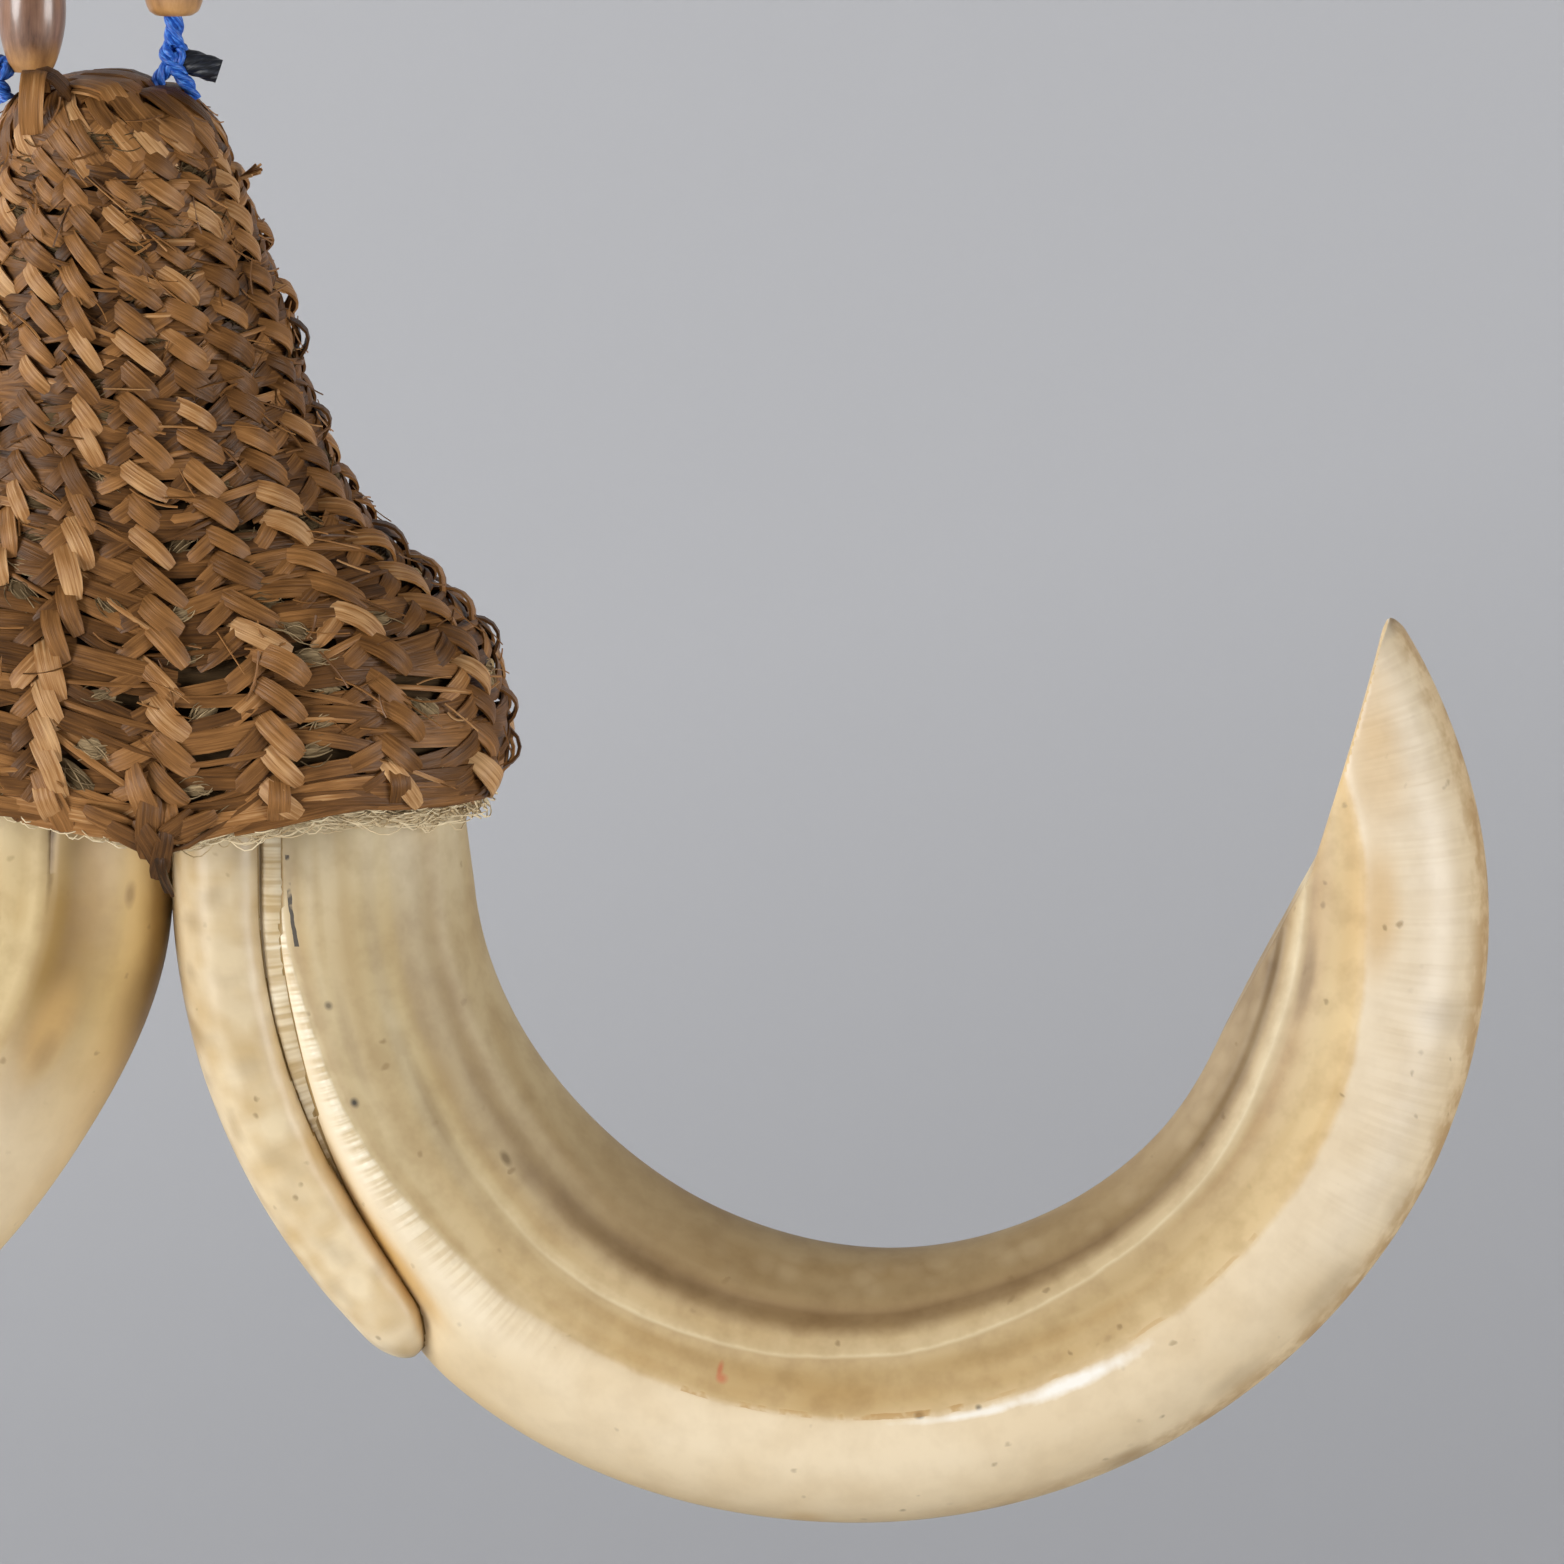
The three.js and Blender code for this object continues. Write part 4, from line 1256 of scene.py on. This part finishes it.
def bend_lobe(shape, tusk, form):
    """The lobe, or the web beside it, lies along the outside of the tusk and ends in a rounded tip."""
    def place(step, side):
        share = min(max(step - 1, 0), LOBE_STEPS - 2) / (LOBE_STEPS - 2)
        share = 1 - (1 - share) ** 1.25
        angle = tusk["root"] + share * (form["tip"] - tusk["root"])
        past = max(angle - (form["tip"] - form["rounding"]), 0) / form["rounding"]
        size = 0 if step in (0, LOBE_STEPS) else math.sqrt(max(1 - past ** 2, 0))
        around = 2 * math.pi * side / form["sides"]
        fullness = form["fullness"][math.cos(around) > 0]
        east = math.copysign(abs(math.cos(around)) ** fullness, math.cos(around))
        front = math.copysign(abs(math.sin(around)) ** fullness, math.sin(around))
        width = size * through(form["half_width"], angle)
        depth = size * through(form["half_depth"], angle)
        radius = through(form["radius"], angle) + width * east
        forward = through(form["forward"], angle) + depth * front
        marks = {"along": math.radians(angle) * CURL_RADIUS, "across": 20 + width * east, "band": 0.84,
                 "behind": -40 * min(math.sin(around), 0), "turn": angle / 100}
        if form["seam"]:
            ring = tusk_ring(tusk, angle)
            beside = 1 - smooth(east, form["seam"] - 0.12, form["seam"] + 0.08)
            dip = swell(east, form["seam"], 0.1)
            forward -= (0.38 * dip - 0.05 * beside * ring["ripple"]) * size * max(front, 0)
            marks["across"] = radius - ring["middle"]
            marks["band"] = 0.84 - 0.135 * beside
            # Painted glow: golden light through the ivory in the gap under the lobe's free end
            marks["gold"] = 0.6 * smooth(angle, 14, 30) * (1 - 0.6 * beside)
            # Painted shade in the seam's groove, strongest near the cap
            marks["brown"] = dip * (0.12 + 0.6 * (1 - smooth(angle, -4, 8)))
        else:
            # Painted glow: golden light through the ivory on the lobe's inner side, in the gap
            marks["gold"] = 0.6 * (1 - smooth(east, -0.95, -0.5)) * smooth(angle, 16, 32)
            # Painted shade: the lobe is darker towards the cap, most of all at and inside its rim
            marks["brown"] = 0.2 * (1 - smooth(angle, 5, 34)) + 0.25 * (1 - smooth(angle, -9, 2))
        point = tusk_place(tusk, angle, radius, forward)
        if not form["seam"]:
            marks["brown"] += 0.45 * max(noise.noise(point * 0.4) - 0.05, 0)
            point.y += size * (0.1 * noise.noise(point * 0.35) + 0.06 * noise.noise(point * 0.9))
        marks["tint"] = 0.7 + 0.3 * noise.noise(point * 0.15) + 0.3 * noise.noise(point * 0.5)
        return point, marks

    bend_sheet(shape, LOBE_STEPS, form["sides"], place)


# Colours across a tusk, from its inner edge at 0 to its outer edge at 1, at the root, the curl and the tip
RIGHT_BANDS_AND_SHADE = [
    [(0.0, "b39e76"), (0.15, "b8a37b"), (0.25, "ae9870"), (0.33, "b8a47c"), (0.42, "bca981"),
     (0.5, "b19b73"), (0.58, "bba881"), (0.63, "b49e76"), (0.648, "c6b38c"), (0.665, "f0e4c9"),
     (0.75, "f6ebd5"), (0.85, "e4d0aa"), (1.0, "dcc294")],
    # In the curl and at the tip the fine ridge near 0.4 is a painted highlight and the step just outside it a
    # painted shadow; colours are darker about the groove near 0.25
    [(0.0, "a89068"), (0.12, "a38a62"), (0.21, "937a53"), (0.25, "8a704c"), (0.29, "a58b64"),
     (0.34, "cdb58b"), (0.388, "d0b98f"), (0.4, "d9c69f"), (0.412, "bfa67c"), (0.47, "bfa475"),
     (0.58, "ccb284"), (0.64, "d4bb8f"), (0.662, "e5d2b2"), (0.8, "e7d5b6"), (0.94, "e4cfab"),
     (1.0, "d9bd8c")],
    [(0.0, "a48d69"), (0.2, "99815c"), (0.3, "bea781"), (0.4, "dccaa5"), (0.44, "bfa379"),
     (0.53, "d8bf92"), (0.62, "e2c591"), (0.645, "e4ca9d"), (0.662, "e9d9bf"), (0.85, "ebdcc4"),
     (0.95, "e8d5b4"), (1.0, "d6ba8c")],
]
# The left tusk's root is darker golden about its enamel edge: partly its own colour, partly painted shade on
# a broad flute
LEFT_BANDS_AND_SHADE = [
    [(0.0, "b9a178"), (0.3, "c6af85"), (0.5, "cdb688"), (0.59, "cdb688"), (0.67, "9a7d49"), (0.72, "937543"),
     (0.78, "a2844d"), (0.88, "c7aa72"), (1.0, "bd9a5e")],
    RIGHT_BANDS_AND_SHADE[1],
    RIGHT_BANDS_AND_SHADE[2],
]

# Soft stains: angle, share across, half length along the curl and half width in mm, strength and kind
RIGHT_SOFT_STAINS = [
    (41, -0.46, 5, 1.2, 0.4, "brown"), (50, -0.52, 8, 1.6, 0.5, "brown"), (62, -0.55, 10, 1.7, 0.5, "brown"),
    (27, -0.14, 9, 1, 0.35, "brown"), (16, 0.3, 8, 0.9, 0.3, "brown"), (169, -0.52, 6, 1, 0.6, "brown"),
    (170, -0.83, 5, 1, 0.7, "brown"), (164, -0.92, 5, 1, 0.6, "brown"), (178, 0.0, 9, 3, 0.5, "gold"),
    (193, 0.1, 7, 4, 0.35, "gold"), (200, 0.1, 6, 5, 0.25, "gold"),
    (30, 0.8, 12, 1.6, 0.6, "gold"), (40, 0.72, 8, 1.6, 0.7, "gold"), (116, 0.93, 3, 1.6, 0.5, "brown"),
    (86, 0.95, 2, 1.4, 0.4, "gold"), (168, 0.7, 2.2, 4, 0.25, "brown"), (140, 0.82, 5, 2.4, 0.3, "brown"),
    (128, 0.8, 4, 1.6, 0.25, "brown"), (150, 0.86, 3, 2, 0.25, "brown"), (-3, 0.6, 3, 4, 0.15, "brown"),
]
# On the left tusk the golden marks are painted shade on the root's broad flute and dim edge, and the brown
# ones are stains
LEFT_SOFT_STAINS = [
    (20, 0.5, 2.4, 1.3, 0.36, "brown"), (18, 0.47, 6, 2.6, 0.6, "gold"), (14, 0.92, 5, 3, 0.5, "brown"),
    (0, 0.55, 14, 2.4, 0.2, "gold"), (8, 0.85, 12, 4, 0.12, "gold"),
]

# Small spots, most of them dark: angle, share across, half length and half width in mm, strength and colour.
# The near-white ones are a painted highlight.
RIGHT_SPOTS_AND_HIGHLIGHT = [(22.4, 0.42, 0.55, 0.5, 0.95, "2a241e"), (37.2, -0.41, 1.1, 0.45, 0.85, "6d5630"),
               (74.6, -0.08, 0.35, 0.9, 0.7, "b8603f"), (75, -0.02, 0.65, 0.55, 0.7, "c06a48"),
               (97.5, 0.1, 0.5, 0.4, 0.8, "5a5144"), (104, 0.11, 0.35, 0.35, 0.7, "5a5144"),
               (11.5, 0.41, 0.45, 0.45, 0.8, "51432f"),
               # A painted highlight: a white streak on the enamel near its edge, at the bottom of the curl
               (103, 0.15, 6, 0.45, 0.7, "faf6ee"), (115, 0.14, 7, 0.85, 0.9, "faf6ee")]
LEFT_SPOTS = [(5, 0.75, 1.0, 0.5, 0.6, "7d5f34"), (-1.5, 0.265, 7, 0.42, 0.9, "5f4724")]

# Broken lines along a tusk: place across, half width, first and last angle, strength, gaps and colour
RIGHT_LINES = [(0.626, 0.006, -5, 5, 0.95, 0.42, "20170e"), (0.645, 0.011, 71, 104, 0.6, 0.5, "b08443"),
               (0.64, 0.007, 104, 140, 0.35, 0.5, "b98f58")]

# The colours of the root give way to those of the curl between two turns, in hundreds of degrees
RIGHT_TUSK.update(root_ends=(0.2, 0.68), bands=RIGHT_BANDS_AND_SHADE, stains=RIGHT_SOFT_STAINS, spots=RIGHT_SPOTS_AND_HIGHLIGHT,
                  lines=RIGHT_LINES)
LEFT_TUSK.update(root_ends=(0.12, 0.34), bands=LEFT_BANDS_AND_SHADE, stains=LEFT_SOFT_STAINS, spots=LEFT_SPOTS,
                 lines=[])


def tusk_material(name, tusk):
    """Tusk: softly polished cream enamel outside the curl and tan dentine inside, stained in its grooves."""
    material, tree = new_material(name)
    along, across, turn, bands, behind, gold, brown, tint = [
        add(tree, "ShaderNodeAttribute", out="Fac", attribute_name=mark) for mark in TUSK_MARKS]
    spot = add(tree, "ShaderNodeTexCoord", out="Object")
    place = add(tree, "ShaderNodeCombineXYZ", {"X": along, "Y": across, "Z": behind})

    # Mottles about 3 mm across
    mottles = add(tree, "ShaderNodeTexNoise", {"Vector": spot, "Scale": 330.0, "Detail": 3.0,
                                               "Roughness": 0.6})

    # Zones of colour across the tusk, with slightly ragged edges
    pushed = add(tree, "ShaderNodeMapRange", {"Value": mottles, "From Min": 0.3, "From Max": 0.7,
                                              "To Min": -0.004, "To Max": 0.004})
    shifted = add(tree, "ShaderNodeMath", {0: bands, 1: pushed}, operation="ADD")
    root, curl, tip = [
        add(tree, "ShaderNodeValToRGB", {"Fac": shifted}, stops=stops) for stops in tusk["bands"]]
    root_fades, root_gone = tusk["root_ends"]
    past_root = add(tree, "ShaderNodeMapRange", {"Value": turn, "From Min": root_fades,
                                                 "From Max": root_gone}, interpolation_type="SMOOTHSTEP")
    near_tip = add(tree, "ShaderNodeMapRange", {"Value": turn, "From Min": 1.2, "From Max": 1.7},
                   interpolation_type="SMOOTHSTEP")
    colour = add(tree, "ShaderNodeMixRGB", {"Fac": past_root, "Color1": root, "Color2": curl})
    colour = add(tree, "ShaderNodeMixRGB", {"Fac": near_tip, "Color1": colour, "Color2": tip})
    under_cap = add(tree, "ShaderNodeMapRange", {"Value": turn, "From Min": -0.1, "From Max": 0.06,
                                                 "To Min": 0.4, "To Max": 0.0})
    colour = add(tree, "ShaderNodeMixRGB", {"Fac": under_cap, "Color1": colour, "Color2": shade("dfd6bc")})

    # Clouds, soft stains and mottles. The golden mark also carries a painted glow in the gap by the lobe and
    # painted shade on the left tusk's root; the brown mark also carries painted shade in the web's seam and
    # on the lobe near the cap.
    tinted = add(tree, "ShaderNodeValToRGB", {"Fac": tint}, stops=[(0.3, "dccba8"), (0.8, "ffffff")])
    colour = add(tree, "ShaderNodeMixRGB", {"Fac": 1.0, "Color1": colour, "Color2": tinted},
                 blend_type="MULTIPLY")
    colour = add(tree, "ShaderNodeMixRGB", {"Fac": gold, "Color1": colour, "Color2": shade("cda462")})
    colour = add(tree, "ShaderNodeMixRGB", {"Fac": brown, "Color1": colour, "Color2": shade("7b613c")})
    dentine = add(tree, "ShaderNodeMapRange", {"Value": bands, "From Min": 0.64, "From Max": 0.67,
                                               "To Min": 1.0, "To Max": 0.0})
    mottled = add(tree, "ShaderNodeValToRGB", {"Fac": mottles}, stops=[(0.34, "ab9164"), (0.58, "ffffff")])
    mottling = add(tree, "ShaderNodeMapRange", {"Value": dentine, "To Min": 0.1, "To Max": 0.22})
    colour = add(tree, "ShaderNodeMixRGB", {"Fac": mottling, "Color1": colour, "Color2": mottled},
                 blend_type="MULTIPLY")

    # Growth lines about 0.5 mm apart, across the striped ridge near the root and faint on the enamel
    stretched = add(tree, "ShaderNodeMapping", {"Vector": place, "Scale": (2.0, 0.08, 1)})
    growth = add(tree, "ShaderNodeTexNoise", {"Vector": stretched, "Scale": 1.0, "Detail": 1.0})
    growth_tint = add(tree, "ShaderNodeValToRGB", {"Fac": growth}, stops=[(0.4, "d3c2a0"), (0.57, "ffffff")])
    on_ridge = add(tree, "ShaderNodeValToRGB", {"Fac": bands}, stops=[(0.645, "000000"), (0.665, "ffffff"),
                                                                      (0.7, "ffffff"), (0.78, "303030")])
    near_root = add(tree, "ShaderNodeMapRange", {"Value": turn, "From Min": 0.25, "From Max": 0.62,
                                                 "To Min": 0.7 * tusk["ridge"] ** 2, "To Max": 0.0})
    near_side = add(tree, "ShaderNodeMapRange", {"Value": turn, "From Min": 1.3, "From Max": 1.6,
                                                 "To Max": 0.13})
    ridge_lines = add(tree, "ShaderNodeMath", {0: near_root, 1: on_ridge}, operation="MULTIPLY")
    enamel = add(tree, "ShaderNodeMapRange", {"Value": bands, "From Min": 0.67, "From Max": 0.75})
    lines = add(tree, "ShaderNodeMath", {0: near_side, 1: enamel, 2: ridge_lines}, operation="MULTIPLY_ADD")
    colour = add(tree, "ShaderNodeMixRGB", {"Fac": lines, "Color1": colour, "Color2": growth_tint},
                 blend_type="MULTIPLY")

    # Pale blobs about 3 mm apart in the brown inside of the curl
    blobs = add(tree, "ShaderNodeTexVoronoi", {"Vector": spot, "Scale": 330.0}, out="Distance")
    pale = add(tree, "ShaderNodeMapRange", {"Value": blobs, "From Min": 0.2, "From Max": 0.5,
                                            "To Min": 0.4, "To Max": 0.0})
    inside = add(tree, "ShaderNodeValToRGB", {"Fac": bands}, stops=[(0.02, "000000"), (0.07, "ffffff"),
                                                                    (0.15, "ffffff"), (0.22, "000000")])
    curled = add(tree, "ShaderNodeMapRange", {"Value": turn, "From Min": 0.6, "From Max": 0.85})
    pale_inside = add(tree, "ShaderNodeMath", {0: pale, 1: inside}, operation="MULTIPLY")
    blotched = add(tree, "ShaderNodeMath", {0: pale_inside, 1: curled}, operation="MULTIPLY")
    colour = add(tree, "ShaderNodeMixRGB", {"Fac": blotched, "Color1": colour, "Color2": shade("b9a27c")})

    # Brown specks in pits, in a few of the cells of a pattern about 2 mm apart
    wobble = add(tree, "ShaderNodeMath", {0: mottles, 1: 0.0022}, operation="MULTIPLY")
    strayed = add(tree, "ShaderNodeVectorMath", {0: spot, 1: wobble}, operation="ADD")
    cells = add(tree, "ShaderNodeTexVoronoi", {"Vector": strayed, "Scale": 520.0}, out="Distance")
    kept = add(tree, "ShaderNodeMapRange", {"Value": cells.node.outputs["Color"], "From Min": 0.7,
                                            "From Max": 0.85})
    dots = add(tree, "ShaderNodeMapRange", {"Value": cells, "From Min": 0.08, "From Max": 0.2,
                                            "To Min": 0.5, "To Max": 0.0})
    specks = add(tree, "ShaderNodeMath", {0: dots, 1: kept}, operation="MULTIPLY")
    colour = add(tree, "ShaderNodeMixRGB", {"Fac": specks, "Color1": colour, "Color2": shade("73572f")})

    # The outer edge is golden past the bottom of the curl, in patches: dirt in it, and painted shade where
    # the edge turns away
    outermost = add(tree, "ShaderNodeMapRange", {"Value": bands, "From Min": 0.93, "From Max": 0.985})
    past_bottom = add(tree, "ShaderNodeMapRange", {"Value": turn, "From Min": 0.95, "From Max": 1.2})
    patchy_dirt_and_shade = add(tree, "ShaderNodeMapRange", {"Value": mottles, "From Min": 0.42, "From Max": 0.6,
                                             "To Min": 0.8, "To Max": 0.1})
    outer_edge = add(tree, "ShaderNodeMath", {0: outermost, 1: past_bottom}, operation="MULTIPLY")
    edge_dirt_and_shade = add(tree, "ShaderNodeMath", {0: outer_edge, 1: patchy_dirt_and_shade}, operation="MULTIPLY")
    colour = add(tree, "ShaderNodeMixRGB", {"Fac": edge_dirt_and_shade, "Color1": colour, "Color2": shade("a9834c")})

    # Small spots, among them a painted highlight, and broken lines
    for angle, side, length, width, strength, code in tusk["spots"]:
        middle = (math.radians(angle) * CURL_RADIUS, side * tusk_half(tusk["side"], angle), 0)
        local = add(tree, "ShaderNodeMapping", {"Vector": place, "Location": middle,
                                                "Scale": (length, width, 1)}, vector_type="TEXTURE")
        apart = add(tree, "ShaderNodeVectorMath", {0: local}, out="Value", operation="LENGTH")
        edge = add(tree, "ShaderNodeMath", {0: mottles, 1: -1.3, 2: apart}, operation="MULTIPLY_ADD")
        inside = add(tree, "ShaderNodeMapRange", {"Value": edge, "From Min": -0.35, "From Max": 0.45,
                                                  "To Min": strength, "To Max": 0.0})
        colour = add(tree, "ShaderNodeMixRGB", {"Fac": inside, "Color1": colour, "Color2": shade(code)})
    for centre, half, first, last, strength, gaps, code in tusk["lines"]:
        near = add(tree, "ShaderNodeMath", {0: shifted, 1: centre, 2: half}, operation="COMPARE")
        within = add(tree, "ShaderNodeMath", {0: turn, 1: (first + last) / 200, 2: (last - first) / 200},
                     operation="COMPARE")
        broken = add(tree, "ShaderNodeMapRange", {"Value": mottles, "From Min": gaps, "From Max": gaps + 0.08,
                                                  "To Max": strength})
        on_line = add(tree, "ShaderNodeMath", {0: near, 1: within}, operation="MULTIPLY")
        drawn = add(tree, "ShaderNodeMath", {0: on_line, 1: broken}, operation="MULTIPLY")
        colour = add(tree, "ShaderNodeMixRGB", {"Fac": drawn, "Color1": colour, "Color2": shade(code)})

    gloss = add(tree, "ShaderNodeMapRange", {"Value": dentine, "To Min": 0.42, "To Max": 0.54})
    ridged = add(tree, "ShaderNodeBump", {"Height": growth, "Strength": lines, "Distance": 0.0003})
    surface = add(tree, "ShaderNodeBsdfPrincipled", {
        "Base Color": colour, "Roughness": gloss, "Normal": ridged})
    add(tree, "ShaderNodeOutputMaterial", {"Surface": surface})
    return material


def make_right_tusk(material):
    """The right tusk's body, its lobe and the web between them, grown together."""
    body = new_shape(*TUSK_MARKS)
    bend_tusk(body, RIGHT_TUSK)
    piece = finished("tusk_right", body, material)
    grown = []
    for name, form in (("tusk_lobe", LOBE), ("tusk_web", WEB)):
        shape = new_shape(*TUSK_MARKS)
        bend_lobe(shape, RIGHT_TUSK, form)
        grown.append(finished(name, shape, material))
        join = piece.modifiers.new("grown_together", "BOOLEAN")
        join.operation = "UNION"
        join.object = grown[-1]
        join.solver = "MANIFOLD"
    bpy.context.view_layer.update()
    whole = piece.evaluated_get(bpy.context.evaluated_depsgraph_get())
    piece_mesh = bpy.data.meshes.new_from_object(whole)
    piece.modifiers.clear()
    piece.data = piece_mesh
    piece_mesh.name = "tusk_right"
    piece_mesh.set_sharp_from_angle(angle=math.radians(SHARP_EDGE))
    for extra in grown:
        bpy.data.objects.remove(extra)
    return piece


def make_left_tusk(material):
    """The left tusk, a little larger and without a lobe."""
    body = new_shape(*TUSK_MARKS)
    bend_tusk(body, LEFT_TUSK)
    return finished("tusk_left", body, material)


set_camera()
light_studio()
set_room()

blue = twine_material("blue twine", "0f2f78", "1e58b8", "5f9be6")
black = twine_material("black twine", "0c0d11", "171a21", "323642")
brown = bead_material()
cord = make_cord(blue)
left_knot, right_knot, stub = make_knots(blue, black)
left_bead = make_bead("bead_left", LEFT_BEAD, LEFT_FULLNESS, brown)
right_bead = make_bead("bead_right", RIGHT_BEAD, RIGHT_FULLNESS, brown)
part_of_ornament(cord, "hanging_cord")
part_of_ornament(left_knot, "left_knot")
part_of_ornament(right_knot, "right_knot")
part_of_ornament(stub, "black_cord_end")
part_of_ornament(left_bead, "left_bead")
part_of_ornament(right_bead, "right_bead")
cord_line = spaced(CORD_ROUTE, 1)

rattan = rattan_material()
# Dark fibre behind the weave, painted darker as the shade in the gaps between strips
fibre_and_shade_backing = fibre_material("fibre backing", "291d10", "4a371f", "6b5639")
fibre = fibre_material("loose plant fibre", "54432b", "b79e77", "e6d5b2")
part_of_ornament(make_cap(rattan, fibre_and_shade_backing), "woven_cap")
part_of_ornament(make_lining(fibre), "fibre_lining")

part_of_ornament(make_right_tusk(tusk_material("right tusk", RIGHT_TUSK)), "right_tusk")
part_of_ornament(make_left_tusk(tusk_material("left tusk", LEFT_TUSK)), "left_tusk")
